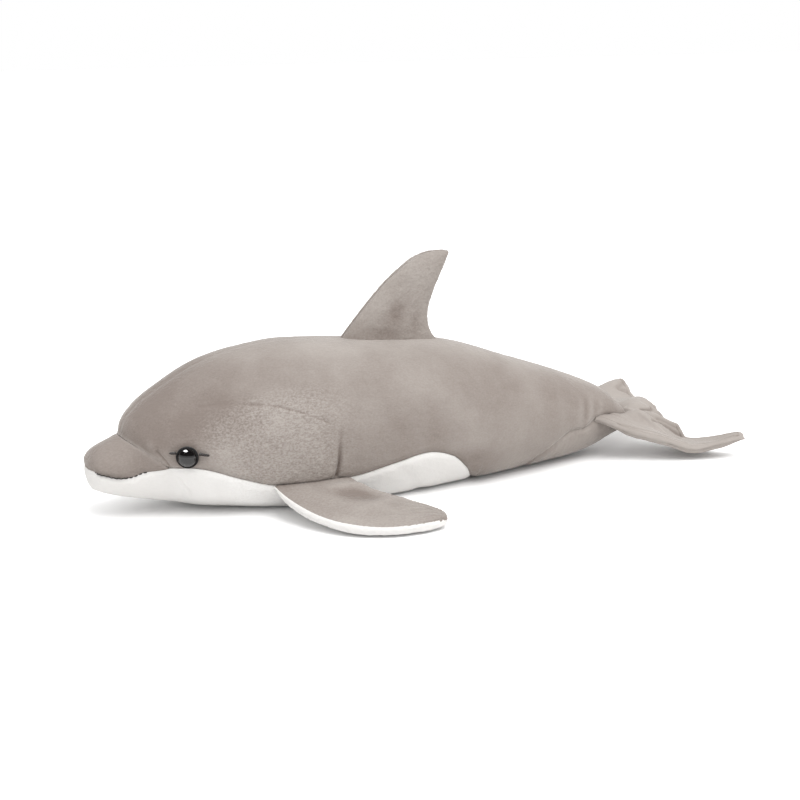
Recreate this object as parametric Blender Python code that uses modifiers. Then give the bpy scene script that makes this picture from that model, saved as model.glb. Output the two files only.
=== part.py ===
"""A plush dolphin lying on its belly, built as it is sewn: fabric panels, stuffing, eyes and threads.

Metres, +Z up. The nose points along -X and the dolphin's left side faces -Y. The origin is on the floor,
under the middle of the whole length.
"""

import math

import bpy
import numpy as np
from mathutils import Matrix

# Driving sizes
BODY_LENGTH = 0.3355
BODY_HEIGHT = 0.087
BODY_WIDTH = 0.096
FLUKE_REACH = 0.0545
FABRIC = 0.0020
SEAM_GAP = 0.0003
STUFFING_GAP = 0.0017
FIN_STUFFING_GAP = 0.0005
REST_BEND = 0.0030
SEAT_GAP = 0.0004

# Dorsal fin, in the middle plane. The handles of its two edge curves are shares of its chord and of its
# rise, the first from the root's end and the second from the tip.
DORSAL_FRONT = 0.148
DORSAL_CHORD = 0.060
DORSAL_RISE = 0.051
DORSAL_RAKE = 0.007
DORSAL_HALF_THICKNESS = 0.0062
DORSAL_LEADING_HANDLES = ((0.42, 0.68), (-0.35, 0.12))
DORSAL_TRAILING_HANDLES = ((-0.24, 0.34), (-0.12, -0.38))

# Pectoral fins, the left one given and the right one its mirror image. The handles of their edge curves are
# shares of their reach along X, Y and Z. The leading ones are from the root at the tip's height, and the
# trailing ones from the root and from the tip.
PECTORAL_REACH = 0.056
PECTORAL_SWEEP = 0.031
PECTORAL_TIP_HEIGHT = 0.0058
PECTORAL_HALF_THICKNESS = 0.0046
PECTORAL_TIP_REACH_SHARE = 0.97
PECTORAL_LEADING_HANDLES = ((0.054, -0.62, -0.054), (0.536, -1.34, -0.036))
PECTORAL_TRAILING_HANDLES = ((0.179, -0.20, -0.018), (0.232, 0.32, 0.036))
ROOT_BLEND = 0.3

# Flukes, a wide two-layer piece sewn round the end of the body
FLUKE_HALF_SPAN = 0.053
FLUKE_NOTCH_REACH = 0.024
RIGHT_TIP_REACH = 0.031
LEFT_TIP_HEIGHT = 0.012
RIGHT_TIP_HEIGHT = 0.028
NOTCH_HEIGHT = 0.017
FLUKE_FOLD_HEIGHT = 0.0030
FLUKE_FOLDS = 2.5
FLUKE_MID_LIFT = 0.0020
FLUKE_SIDE_SINK = 0.0065
FLUKE_MID_REACH_SHARE = 0.55
FLUKE_MID_SPAN_SHARE = 0.93
FLUKE_SAG_SHARE = 0.35
FLUKE_ROOT_SPACING = 0.75
FLUKE_SEAT_GAP = 0.0008

# Eyes: a moulded dome with a stem, held inside by a washer
EYE_DIAMETER = 0.0120
EYE_HEIGHT = 0.0046
EYE_EDGE = 0.0010
EYE_BACK_SINK = 0.0003
STEM_DIAMETER = 0.0032
STEM_LENGTH = 0.0085
WASHER_DIAMETER = 0.0120
WASHER_THICKNESS = 0.0012
WASHER_BORE_CLEARANCE = 0.0002
FABRIC_HOLE_CLEARANCE = 0.0003
POCKET_CLEARANCE = 0.0005

# Threads
THREAD_DIAMETER = 0.0010
MOUTH_THREAD_DIAMETER = 0.0008
FRONT_STITCH_LENGTH = 0.0046
FRONT_STITCH_RISE = 0.0027
REAR_STITCH_LENGTH = 0.0036
REAR_STITCH_RISE = 0.0014

# Sections of the body from the tip of the beak to the end of the tail. Each one is a plane curve from a top
# point to a low point. Lengths along X are shares of BODY_LENGTH from the nose, heights shares of
# BODY_HEIGHT. Columns: x of the top point, its height, x of the low point, its height, half width as a share
# of half of BODY_WIDTH, the widest level as a share of the section's height, squareness above it,
# squareness below it, and how far the section's middle bows back, as a share of BODY_LENGTH.
BEAK_SECTIONS = (
    (0.001, 0.325, 0.001, 0.317, 0.00, 0.50, 2.0, 2.0, 0.0),
    (0.005, 0.368, 0.005, 0.195, 0.19, 0.72, 2.0, 2.0, 0.0),
    (0.018, 0.425, 0.015, 0.149, 0.31, 0.55, 2.0, 2.1, 0.0),
    (0.042, 0.471, 0.054, 0.109, 0.41, 0.46, 2.0, 2.2, 0.01),
    (0.057, 0.495, 0.134, 0.046, 0.56, 0.62, 2.0, 2.2, 0.03),
)
BODY_SECTIONS = (
    (0.057, 0.495, 0.134, 0.046, 0.56, 0.62, 2.0, 2.2, 0.03),
    (0.070, 0.608, 0.176, 0.011, 0.70, 0.50, 2.1, 2.2, 0.02),
    (0.115, 0.750, 0.224, -0.011, 0.83, 0.45, 2.1, 2.3, 0.01),
    (0.212, 0.930, 0.283, -0.040, 0.94, 0.43, 2.1, 2.5, 0.0),
    (0.328, 1.000, 0.358, -0.069, 1.00, 0.43, 2.1, 2.7, 0.0),
    (0.492, 0.960, 0.492, -0.069, 1.00, 0.43, 2.1, 2.7, 0.0),
    (0.626, 0.905, 0.626, -0.046, 0.92, 0.45, 2.1, 2.4, 0.0),
    (0.760, 0.740, 0.754, -0.023, 0.75, 0.47, 2.1, 2.2, 0.0),
    (0.864, 0.598, 0.850, 0.000, 0.56, 0.52, 2.1, 2.1, 0.0),
    (0.939, 0.470, 0.918, 0.046, 0.40, 0.60, 2.1, 2.1, 0.0),
    (0.979, 0.350, 0.960, 0.100, 0.25, 0.60, 2.0, 2.0, 0.0),
    (0.995, 0.290, 0.990, 0.150, 0.15, 0.60, 2.0, 2.0, 0.0),
    (1.000, 0.232, 1.000, 0.224, 0.00, 0.50, 2.0, 2.0, 0.0),
)
CREASE = len(BEAK_SECTIONS) - 1
TAIL_END = CREASE + len(BODY_SECTIONS) - 1

# The seam between the grey side and the panel under it, as (section number, angle from the top in degrees).
# Up to the crease it is the mouth.
BELLY_SEAM = (
    (0.0, 90.0), (2.0, 90.0), (2.6, 90.5), (3.0, 88.0), (3.35, 82.5), (3.7, 85.5), (4.0, 88.5),
    (5.0, 85.0), (5.8, 91.0), (6.5, 103.0), (7.1, 111.0), (8.4, 107.0), (9.0, 98.5), (9.4, 96.5),
    (9.75, 105.0), (10.0, 124.0), (10.2, 152.0), (10.3, 180.0), (11.0, 180.0),
)
TAIL_SEAM = (
    (10.7, 180.0), (10.9, 180.0), (11.0, 156.0), (11.2, 132.0), (11.8, 103.0), (12.3, 101.0), (12.6, 93.0),
    (13.0, 90.5), (14.0, 88.0), (16.0, 88.0),
)
STEEPEST_SEAM = 0.2
BELLY_STOP = 10.27
TAIL_PANEL_START = 10.93
BELLY_END_TURN = 9.4
TAIL_PANEL_TURN = 11.8

NOSE_START = 0.06
TAIL_STOP = TAIL_END - 0.12
STUFFING_START = 0.8
STUFFING_STOP = TAIL_END - 0.9

EYE_SECTION = 5.37
EYE_ANGLE = 73.0
PECTORAL_ROOT_SECTIONS = (7.12, 8.38)
FLUKE_ROOT_SECTION = 12.55
MOUTH_THREAD_SECTIONS = (1.15, 3.7)

# How finely the pieces are meshed: the stretches of the body's rows, each as the section number where it
# ends and its number of rows, then columns round the body, and rows and columns of the fins
ROW_STRETCHES = (
    (CREASE, 8), (BELLY_END_TURN, 11), (BELLY_STOP, 6), (TAIL_PANEL_START, 3), (TAIL_PANEL_TURN, 5),
    (TAIL_STOP, 8),
)
SIDE_COLUMNS = 11
BELLY_COLUMNS = 12
TAIL_COLUMNS = 10
STUFFING_COLUMNS = 20
DORSAL_GRID = (10, 8)
PECTORAL_GRID = (10, 9)
FLUKE_GRID = (7, 21)
FIN_STUFFING_GRID = (7, 6)
ROUND_STEPS = 16
DOME_RINGS = 7
MOUTH_THREAD_POINTS = 11
STITCH_POINTS = 4

# Shares of a fin that its filling takes up, from root to tip and from leading to trailing edge
DORSAL_FILLED = ((0.03, 0.80), (0.14, 0.86))
PECTORAL_FILLED = ((0.05, 0.80), (0.16, 0.84))
FIN_TIP_STOP = 0.985

GREY = (0.405, 0.372, 0.345)
LIGHT_GREY = (0.44, 0.40, 0.375)
WHITE = (0.83, 0.80, 0.77)
BLACK = (0.012, 0.011, 0.010)
FIBRE = (0.85, 0.85, 0.84)
WASHER_WHITE = (0.72, 0.72, 0.70)


def clear_scene():
    for thing in list(bpy.data.objects):
        bpy.data.objects.remove(thing)


def material(name, colour, roughness, metallic=0.0):
    made = bpy.data.materials.new(name)
    made.use_nodes = True
    shader = made.node_tree.nodes["Principled BSDF"]
    shader.inputs["Base Color"].default_value = (*colour, 1.0)
    shader.inputs["Roughness"].default_value = roughness
    shader.inputs["Metallic"].default_value = metallic
    return made


def spline(rows, place):
    """Smooth curve through the rows (Catmull-Rom), read at row numbers that need not be whole."""
    table = np.asarray(rows, float)
    last = len(table) - 1
    place = np.clip(np.asarray(place, float), 0, last)
    low = np.minimum(place.astype(int), last - 1)
    f = (place - low)[..., None]
    p1, p2 = table[low], table[low + 1]
    p0 = np.where((low == 0)[..., None], 2 * p1 - p2, table[np.maximum(low - 1, 0)])
    p3 = np.where((low == last - 1)[..., None], 2 * p2 - p1, table[np.minimum(low + 2, last)])
    ends = 2 * p1 + (p2 - p0) * f + (2 * p0 - 5 * p1 + 4 * p2 - p3) * f**2
    return (ends + (3 * p1 - p0 - 3 * p2 + p3) * f**3) / 2


def section_point(row, angle):
    """Point of a section at an angle from the top. From 0 to 180 degrees it is on the left side, at -Y."""
    top_x, top_z, low_x, low_z, half, belt, above, below, bow = np.moveaxis(row, -1, 0)
    c, s = np.cos(angle), np.sin(angle)
    power = 2 / np.where(c > 0, above, below)
    rise = np.sign(c) * np.abs(c) ** power
    level = np.where(rise > 0, belt + (1 - belt) * rise, belt + belt * rise)
    x = low_x + (top_x - low_x) * level + 4 * bow * level * (1 - level)
    y = -half * np.sign(s) * np.abs(s) ** power
    z = (low_z + (top_z - low_z) * level) * BODY_HEIGHT
    return np.stack([nose_x() + x * BODY_LENGTH, y * BODY_WIDTH / 2, rested(z)], -1)


def rested(z):
    """Height with all that would be under the floor pressed flat on it, and a soft bend at its edge."""
    bend = (z + REST_BEND) ** 2 / (4 * REST_BEND)
    return np.where(z > REST_BEND, z, np.where(z < -REST_BEND, 0.0, bend))


def nose_x():
    return -(BODY_LENGTH + FLUKE_REACH) / 2


def skin(section, angle):
    """Outer surface of the body. The beak and the head are two splines that meet in the crease."""
    section, angle = np.broadcast_arrays(np.asarray(section, float), np.asarray(angle, float))
    beak = section_point(spline(BEAK_SECTIONS, section), angle)
    body = section_point(spline(BODY_SECTIONS, section - CREASE), angle)
    return np.where((section <= CREASE)[..., None], beak, body)


def unit(vectors):
    return vectors / np.maximum(np.linalg.norm(vectors, axis=-1, keepdims=True), 1e-12)


def skin_normal(section, angle):
    """Outward direction of the skin, from small steps each way that stay on one side of the crease."""
    step = 1e-3
    section, angle = np.broadcast_arrays(np.asarray(section, float), np.asarray(angle, float))
    on_beak = section <= CREASE
    fore = np.where(on_beak, section - step, np.maximum(section - step, CREASE + 1e-6))
    aft = np.where(on_beak, np.minimum(section + step, CREASE), section + step)
    along = skin(aft, angle) - skin(fore, angle)
    around = skin(section, angle + step) - skin(section, angle - step)
    return unit(np.cross(around, along))


def wall_point(section, angle, depth):
    """Point below the skin, at a depth along its normal."""
    return skin(section, angle) - skin_normal(section, angle) * depth


def seam_angle(table, section):
    """Angle of a seam at each section, at most 180 degrees, where the two sides meet below."""
    stops, degrees = np.array(table).T
    place = np.interp(section, stops, np.arange(len(stops)))
    return np.minimum(spline(np.radians(degrees)[:, None], place)[..., 0], np.pi)


def seam_edge(table, section, way):
    """Angle of a panel's edge along a seam, half of the seam gap before it (way -1) or past it (way 1)."""
    small = 1e-3
    angle = seam_angle(table, section)
    along = unit(skin(section + small, seam_angle(table, section + small)) - skin(section, angle))
    around = unit(skin(section, angle + small) - skin(section, angle - small))
    slant = np.linalg.norm(np.cross(along, around), axis=-1)
    return angle + way * angle_step(section, angle, SEAM_GAP / 2 / np.maximum(slant, STEEPEST_SEAM))


def crease_step():
    """The change of section number that clears half of the seam gap at the crease."""
    small = 1e-3
    moved = np.linalg.norm(skin(CREASE + 2 * small, 0.0) - skin(CREASE + small, 0.0))
    return SEAM_GAP / 2 * small / moved


def panel_rows(first, last):
    """Section numbers of a panel's rows. All panels share them, and they are close where seams turn fast."""
    rows, start = [[CREASE - crease_step(), CREASE + crease_step()]], 0
    for end, count in ROW_STRETCHES:
        rows.append(np.linspace(start, end, count + 1)[1:])
        start = end
    rows = np.concatenate(rows)
    inside = rows[(rows > first + 1e-6) & (rows < last - 1e-6)]
    return np.concatenate([[first], np.sort(inside), [last]])


def angle_step(section, angle, distance):
    """The change of angle that moves a point round the section by a distance."""
    small = 1e-3
    moved = np.linalg.norm(skin(section, angle + small) - skin(section, angle - small), axis=-1)
    return distance * 2 * small / np.maximum(moved, 1e-9)


def bezier(points, t):
    """Cubic curve of four control points."""
    p = np.asarray(points, float)
    t = np.asarray(t, float)[..., None]
    start, end = p[0] * (1 - t) ** 3, p[3] * t**3
    return start + 3 * p[1] * t * (1 - t) ** 2 + 3 * p[2] * t**2 * (1 - t) + end


def mesh_object(name, points, faces, look, collection):
    """A mesh from points and triangles, with its faces turned out if they all face in."""
    corners = points[faces]
    volume = np.einsum("ij,ij->", corners[:, 0], np.cross(corners[:, 1], corners[:, 2]))
    if volume < 0:
        faces = faces[:, ::-1]
    mesh = bpy.data.meshes.new(name)
    mesh.from_pydata(points.tolist(), [], faces.tolist())
    mesh.materials.append(look)
    mesh.shade_smooth()
    mesh.set_sharp_from_angle(angle=math.radians(50))
    made = bpy.data.objects.new(name, mesh)
    collection.objects.link(made)
    return made


def sheet_solid(name, outer, inner, look, collection):
    """Closed solid between two grids of the same size: a panel's two faces and the wall round its edge.

    Each cell is split along one diagonal, or along the other where that is much shorter. The wall is split
    alike on both sides of a seam, so that two edges that face each other stay parallel.
    """
    rows, columns = outer.shape[:2]
    count = rows * columns
    index = np.arange(count).reshape(rows, columns)
    a, b, c, d = index[:-1, :-1], index[:-1, 1:], index[1:, 1:], index[1:, :-1]
    flat = inner.reshape(-1, 3)
    other = np.linalg.norm(flat[b] - flat[d], axis=-1) < 0.8 * np.linalg.norm(flat[a] - flat[c], axis=-1)
    first = np.where(other[..., None], np.stack([a, b, d], -1), np.stack([a, b, c], -1))
    second = np.where(other[..., None], np.stack([b, c, d], -1), np.stack([a, c, d], -1))
    sheet = np.concatenate([first.reshape(-1, 3), second.reshape(-1, 3)])
    edge = np.concatenate([index[0, :-1], index[:-1, -1], index[-1, :0:-1], index[:0:-1, 0]])
    after = np.roll(edge, -1)
    onward = (after > edge)[:, None]
    wall = np.concatenate([
        np.stack([after, edge, np.minimum(edge, after) + count], -1),
        np.where(
            onward,
            np.stack([after, edge + count, after + count], -1),
            np.stack([edge, edge + count, after + count], -1),
        ),
    ])
    faces = np.concatenate([sheet, sheet[:, ::-1] + count, wall])
    return mesh_object(name, np.concatenate([outer.reshape(-1, 3), flat]), faces, look, collection)


def tube_solid(name, rings, look, collection):
    """Closed solid through a row of closed rings, with a fan of faces over each end."""
    rows, columns = rings.shape[:2]
    index = np.arange(rows * columns).reshape(rows, columns)
    a, b = index[:-1], np.roll(index[:-1], -1, axis=1)
    c, d = np.roll(index[1:], -1, axis=1), index[1:]
    front, back = rows * columns, rows * columns + 1
    faces = np.concatenate([
        np.stack([a, b, c], -1).reshape(-1, 3),
        np.stack([a, c, d], -1).reshape(-1, 3),
        np.stack([b[0], a[0], np.full(columns, front)], -1),
        np.stack([d[-1], c[-1], np.full(columns, back)], -1),
    ])
    points = np.concatenate([rings.reshape(-1, 3), [rings[0].mean(axis=0)], [rings[-1].mean(axis=0)]])
    return mesh_object(name, points, faces, look, collection)


def panel(name, sections, first_angle, last_angle, columns, look, collection):
    """Fabric panel of the body between two seams, each given as an angle for every section."""
    share = np.linspace(0, 1, columns)
    angle = first_angle[:, None] * (1 - share) + last_angle[:, None] * share
    section = np.repeat(sections[:, None], columns, axis=1)
    outer = skin(section, angle)
    inner = wall_point(section, angle, FABRIC)
    return sheet_solid(name, outer, inner, look, collection)


def side_panels(looks, collection):
    """The two grey sides, from the crease to the tail. They meet along the back and behind the belly."""
    sections = panel_rows(CREASE + crease_step(), TAIL_STOP)
    behind = sections > (BELLY_STOP + TAIL_PANEL_START) / 2
    seam = np.where(behind, seam_edge(TAIL_SEAM, sections, -1), seam_edge(BELLY_SEAM, sections, -1))
    top = angle_step(sections, np.zeros_like(sections), SEAM_GAP / 2)
    panel("left_side_panel", sections, top, seam, SIDE_COLUMNS, looks["grey"], collection)
    panel("right_side_panel", sections, -top, -seam, SIDE_COLUMNS, looks["grey"], collection)


def rostrum_panel(looks, collection):
    """The grey top of the beak, from mouth seam to mouth seam."""
    sections = panel_rows(NOSE_START, CREASE - crease_step())
    seam = seam_edge(BELLY_SEAM, sections, -1)
    panel("rostrum_panel", sections, seam, -seam, SIDE_COLUMNS, looks["grey"], collection)


def belly_panel(looks, collection):
    """The white panel from the tip of the lower jaw to the rounded end of the belly patch."""
    sections = panel_rows(NOSE_START, BELLY_STOP)
    seam = seam_edge(BELLY_SEAM, sections, 1)
    panel("belly_panel", sections, seam, 2 * np.pi - seam, BELLY_COLUMNS, looks["white"], collection)


def tail_underside_panel(looks, collection):
    """The grey panel under the tail, which widens from a point behind the belly."""
    sections = panel_rows(TAIL_PANEL_START, TAIL_STOP)
    seam = seam_edge(TAIL_SEAM, sections, 1)
    other = 2 * np.pi - seam
    panel("tail_underside_panel", sections, seam, other, TAIL_COLUMNS, looks["light_grey"], collection)


def body_stuffing(looks, collection):
    """The fibre filling, one lump a little inside the fabric, with half of the rows behind the head."""
    sections = panel_rows(STUFFING_START, STUFFING_STOP)
    kept = (sections < CREASE + 1) | (np.arange(len(sections)) % 2 == 1)
    sections = sections[kept]
    angle = np.linspace(0, 2 * np.pi, STUFFING_COLUMNS + 1)[:-1]
    rings = wall_point(sections[:, None], angle[None, :], FABRIC + STUFFING_GAP)
    return tube_solid("body_stuffing", rings, looks["fibre"], collection)


class Fin:
    """A two-layer fin: a middle surface M(s, t), s from root to tip and t from leading to trailing edge."""

    def __init__(self, middle, half_thickness, root=None, across=1):
        self.middle = middle
        self.half = half_thickness
        self.edge = FABRIC + SEAM_GAP / 2
        self.root = root
        self.mirror = np.array([1, across, 1])

    def outer_height(self, s, t):
        """Half thickness, full along the middle of the fin and thin at its edges and tip."""
        fullness = np.sqrt(np.maximum(4 * t * (1 - t), 0)) * np.sqrt(np.maximum(1 - s**2, 0))
        return self.edge + (self.half - self.edge) * fullness

    def normal(self, s, t):
        step = 1e-3
        s0, s1 = np.maximum(s - step, 0), np.minimum(s + step, 1)
        t0, t1 = np.maximum(t - step, 0), np.minimum(t + step, 1)
        outward = self.middle(s1, t) - self.middle(s0, t)
        return unit(np.cross(outward, self.middle(s, t1) - self.middle(s, t0)))

    def point(self, s, t, height):
        """Point at a height above the middle surface. Near the root it follows the body it is sewn to."""
        free = self.middle(s, t) + self.normal(s, t) * height[..., None]
        if self.root is not None:
            start = self.middle(0 * s, t) + self.normal(0 * s, t) * height[..., None]
            share = np.clip(1 - s / ROOT_BLEND, 0, 1)[..., None] ** 2
            free = free + share * (self.root(t, height) - start)
        return free * self.mirror

    def grid(self, rows, columns, s_range=(0.0, FIN_TIP_STOP), t_range=(0.0, 1.0)):
        """Rows close up towards the tip, and columns towards the edges."""
        s = np.sin(np.linspace(0, np.pi / 2, rows)) * (s_range[1] - s_range[0]) + s_range[0]
        t = (1 - np.cos(np.linspace(0, np.pi, columns))) / 2 * (t_range[1] - t_range[0]) + t_range[0]
        return np.meshgrid(s, t, indexing="ij")

    def layer(self, name, side, rows, columns, look, collection):
        """One of the two fabric layers, on the +1 or the -1 side of the middle."""
        s, t = self.grid(rows, columns)
        outer = self.outer_height(s, t)
        faces = (self.point(s, t, side * outer), self.point(s, t, side * (outer - FABRIC)))
        return sheet_solid(name, *faces, look, collection)

    def stuffing(self, name, rows, columns, s_range, t_range, look, collection):
        s, t = self.grid(rows, columns, s_range, t_range)
        height = self.outer_height(s, t) - FABRIC - FIN_STUFFING_GAP
        faces = (self.point(s, t, height), self.point(s, t, -height))
        return sheet_solid(name, *faces, look, collection)


def dorsal_fin(looks, collection):
    """The upright fin on the back. Its root follows the line of the back."""
    front = nose_x() + DORSAL_FRONT
    rear = front + DORSAL_CHORD

    def back_height(x):
        sections = np.linspace(CREASE, TAIL_END, 200)
        line = skin(sections, np.zeros_like(sections))
        return np.interp(x, line[:, 0], line[:, 2]) + SEAT_GAP

    tip = np.array([rear + DORSAL_RAKE, 0, back_height(rear) + DORSAL_RISE])
    start = np.array([front, 0, back_height(front)])
    end = np.array([rear, 0, back_height(rear)])
    rise = tip[2] - start[2]

    def edge(root, handles):
        steps = [np.array([chord * DORSAL_CHORD, 0, up * rise]) for chord, up in handles]
        return (root, root + steps[0], tip + steps[1], tip)

    leading, trailing = edge(start, DORSAL_LEADING_HANDLES), edge(end, DORSAL_TRAILING_HANDLES)

    def middle(s, t):
        flat = bezier(leading, s) * (1 - t)[..., None] + bezier(trailing, s) * t[..., None]
        root_z = back_height(front + (rear - front) * t)
        straight = start[2] + (end[2] - start[2]) * t
        flat[..., 2] += (root_z - straight) * np.clip(1 - s / ROOT_BLEND, 0, 1) ** 2
        return flat

    fin = Fin(middle, DORSAL_HALF_THICKNESS)
    fin.layer("dorsal_fin_left_panel", -1, *DORSAL_GRID, looks["grey"], collection)
    fin.layer("dorsal_fin_right_panel", 1, *DORSAL_GRID, looks["grey"], collection)
    fin.stuffing("dorsal_fin_stuffing", *FIN_STUFFING_GRID, *DORSAL_FILLED, looks["fibre"], collection)


def pectoral_fin(side, name, looks, collection):
    """A flipper sewn into the belly seam, swept back and out to rest near the floor.

    It is worked out on the left side, where side is -1, and mirrored for the right one.
    """
    first, last = PECTORAL_ROOT_SECTIONS

    def root(t, height):
        section = first + (last - first) * t
        angle = seam_angle(BELLY_SEAM, section)
        angle = angle - angle_step(section, angle, 1.0) * height
        return skin(section, angle) + skin_normal(section, angle) * SEAT_GAP

    start = root(np.array(0.0), np.array(0.0))
    end = root(np.array(1.0), np.array(0.0))
    tip_y = end[1] - PECTORAL_TIP_REACH_SHARE * PECTORAL_REACH
    tip = np.array([end[0] + PECTORAL_SWEEP, tip_y, PECTORAL_TIP_HEIGHT])
    low_start = np.array([start[0], start[1], PECTORAL_TIP_HEIGHT])
    fore, fore_far = np.array(PECTORAL_LEADING_HANDLES) * PECTORAL_REACH
    aft, aft_far = np.array(PECTORAL_TRAILING_HANDLES) * PECTORAL_REACH
    leading = (start, low_start + fore, low_start + fore_far, tip)
    trailing = (end, end + aft, tip + aft_far, tip)

    def middle(s, t):
        return bezier(leading, s) * (1 - t)[..., None] + bezier(trailing, s) * t[..., None]

    fin = Fin(middle, PECTORAL_HALF_THICKNESS, root, -side)
    name = f"{name}_pectoral"
    fin.layer(f"{name}_upper_panel", 1, *PECTORAL_GRID, looks["grey"], collection)
    fin.layer(f"{name}_lower_panel", -1, *PECTORAL_GRID, looks["white"], collection)
    fin.stuffing(f"{name}_stuffing", *FIN_STUFFING_GRID, *PECTORAL_FILLED, looks["fibre"], collection)


def flukes(looks, collection):
    """The tail flukes: two layers with no filling, in folds that fan out from the end of the body.

    Here s runs from the seam round the body's end to the trailing edge, and t from the left tip to the right
    one.
    """
    tail_x = nose_x() + BODY_LENGTH

    def root(t, height):
        across = 2 * t - 1
        section = TAIL_END - (TAIL_END - FLUKE_ROOT_SECTION) * np.abs(across) ** FLUKE_ROOT_SPACING
        section = np.minimum(section, TAIL_STOP)
        angle = seam_angle(TAIL_SEAM, section)
        angle = (angle - angle_step(section, angle, 1.0) * height) * np.where(across < 0, 1, -1)
        return skin(section, angle) + skin_normal(section, angle) * FLUKE_SEAT_GAP

    def middle(s, t):
        across = 2 * t - 1
        left, right = np.maximum(-across, 0), np.maximum(across, 0)
        start = root(t, 0 * t)
        reach = FLUKE_NOTCH_REACH * (1 - left - right) + FLUKE_REACH * left + RIGHT_TIP_REACH * right
        sag = 4 * left * (1 - left) * FLUKE_SAG_SHARE * NOTCH_HEIGHT
        rise = (LEFT_TIP_HEIGHT - NOTCH_HEIGHT) * left + (RIGHT_TIP_HEIGHT - NOTCH_HEIGHT) * right
        end = np.stack([tail_x + reach, FLUKE_HALF_SPAN * across, NOTCH_HEIGHT + rise - sag], -1)
        bend = np.stack([
            start[..., 0] * (1 - FLUKE_MID_REACH_SHARE) + end[..., 0] * FLUKE_MID_REACH_SHARE,
            across * FLUKE_HALF_SPAN * FLUKE_MID_SPAN_SHARE,
            NOTCH_HEIGHT + FLUKE_MID_LIFT - (NOTCH_HEIGHT + FLUKE_SIDE_SINK) * left**2,
        ], -1)
        share = s[..., None]
        flat = start * (1 - share) ** 2 + 2 * bend * share * (1 - share) + end * share**2
        folds = np.sin(np.pi * s) * np.cos(2 * np.pi * FLUKE_FOLDS * t) * (1 - left**2)
        flat[..., 2] += FLUKE_FOLD_HEIGHT * folds
        return flat

    fin = Fin(middle, FABRIC + SEAM_GAP / 2, root)
    fin.layer("fluke_upper_panel", 1, *FLUKE_GRID, looks["light_grey"], collection)
    fin.layer("fluke_lower_panel", -1, *FLUKE_GRID, looks["light_grey"], collection)


def turned(name, profile, frame, look, collection):
    """Solid of revolution about the frame's third axis, from (radius, height) points down its outer side."""
    mesh = bpy.data.meshes.new(name)
    points = [(radius, 0.0, height) for radius, height in profile]
    mesh.from_pydata(points, [(i, i + 1) for i in range(len(points) - 1)], [])
    mesh.materials.append(look)
    made = bpy.data.objects.new(name, mesh)
    collection.objects.link(made)
    screw = made.modifiers.new("turn", "SCREW")
    screw.steps = ROUND_STEPS
    screw.render_steps = ROUND_STEPS
    screw.use_merge_vertices = True
    screw.merge_threshold = 0.00001
    screw.use_smooth_shade = True
    made.matrix_world = frame
    return made


def eye_frame(side):
    """Placement of an eye on the skin: its third axis points out, its second up and its first along it."""
    angle = math.radians(EYE_ANGLE) * -side
    place = skin(EYE_SECTION, angle)
    out = skin_normal(EYE_SECTION, angle)
    up = np.array([0.0, 0.0, 1.0])
    up = unit(up - out * np.dot(out, up))
    along = np.cross(up, out)
    return Matrix([*([along[i], up[i], out[i], place[i]] for i in range(3)), (0, 0, 0, 1)])


def surface_drop(side, reach, depth):
    """How far the surface at a depth below the skin falls away from the eye's plane, at a reach from it."""
    ring = [
        on_skin_from_eye(side, reach * math.cos(turn), reach * math.sin(turn), -depth)
        for turn in np.linspace(0, 2 * math.pi, ROUND_STEPS, endpoint=False)
    ]
    frame = np.array(eye_frame(side))
    return -depth - min(np.dot(point - frame[:3, 3], frame[:3, 2]) for point in ring)


def eye(side, name, looks, collection, cutters):
    """A black dome on the fabric. Its stem goes through to a washer, and the stuffing has room for both."""
    frame = eye_frame(side)
    radius, stem = EYE_DIAMETER / 2, STEM_DIAMETER / 2
    base = SEAM_GAP - surface_drop(side, radius, 0.0)
    dome = [
        (radius * math.cos(turn), base + EYE_EDGE + (EYE_HEIGHT - EYE_EDGE) * math.sin(turn))
        for turn in np.linspace(math.pi / 2, 0, DOME_RINGS)
    ]
    dome[0] = (0.0, base + EYE_HEIGHT)
    tip = base - STEM_LENGTH
    profile = [*dome, (radius - EYE_BACK_SINK, base), (stem, base), (stem, tip), (0.0, tip)]
    turned(f"{name}_eye", profile, frame, looks["black"], collection)

    washer = WASHER_DIAMETER / 2
    face = -(FABRIC + surface_drop(side, washer, FABRIC) + SEAM_GAP)
    back = face - WASHER_THICKNESS
    bore = stem + WASHER_BORE_CLEARANCE
    ring = [(bore, face), (washer, face), (washer, back), (bore, back), (bore, face)]
    turned(f"{name}_eye_washer", ring, frame, looks["washer"], collection)

    hole, seat = stem + FABRIC_HOLE_CLEARANCE, base - SEAM_GAP
    through = [
        (0.0, radius), (radius + SEAM_GAP, radius), (radius + SEAM_GAP, seat), (hole, seat),
        (hole, -3 * FABRIC), (0.0, -3 * FABRIC),
    ]
    fabric_hole = turned(f"{name}_fabric_hole", through, frame, looks["black"], cutters)
    wide, deep, end = washer + POCKET_CLEARANCE, back - POCKET_CLEARANCE, tip - POCKET_CLEARANCE
    room = [(0.0, radius), (wide, radius), (wide, deep), (hole, deep), (hole, end), (0.0, end)]
    pocket = turned(f"{name}_pocket", room, frame, looks["black"], cutters)
    for target, cutter in ((f"{name}_side_panel", fabric_hole), ("body_stuffing", pocket)):
        cut = bpy.data.objects[target].modifiers.new(f"{name} eye", "BOOLEAN")
        cut.operation = "DIFFERENCE"
        cut.object = cutter


def thread(name, points, diameter, look, collection):
    """A round thread through points on the skin, as a poly curve with a bevel."""
    curve = bpy.data.curves.new(name, "CURVE")
    curve.dimensions = "3D"
    curve.bevel_depth = diameter / 2
    curve.bevel_resolution = 1
    curve.use_fill_caps = True
    curve.materials.append(look)
    line = curve.splines.new("POLY")
    line.points.add(len(points) - 1)
    for place, point in zip(line.points, points):
        place.co = (*point, 1.0)
    made = bpy.data.objects.new(name, curve)
    collection.objects.link(made)
    return made


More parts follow.
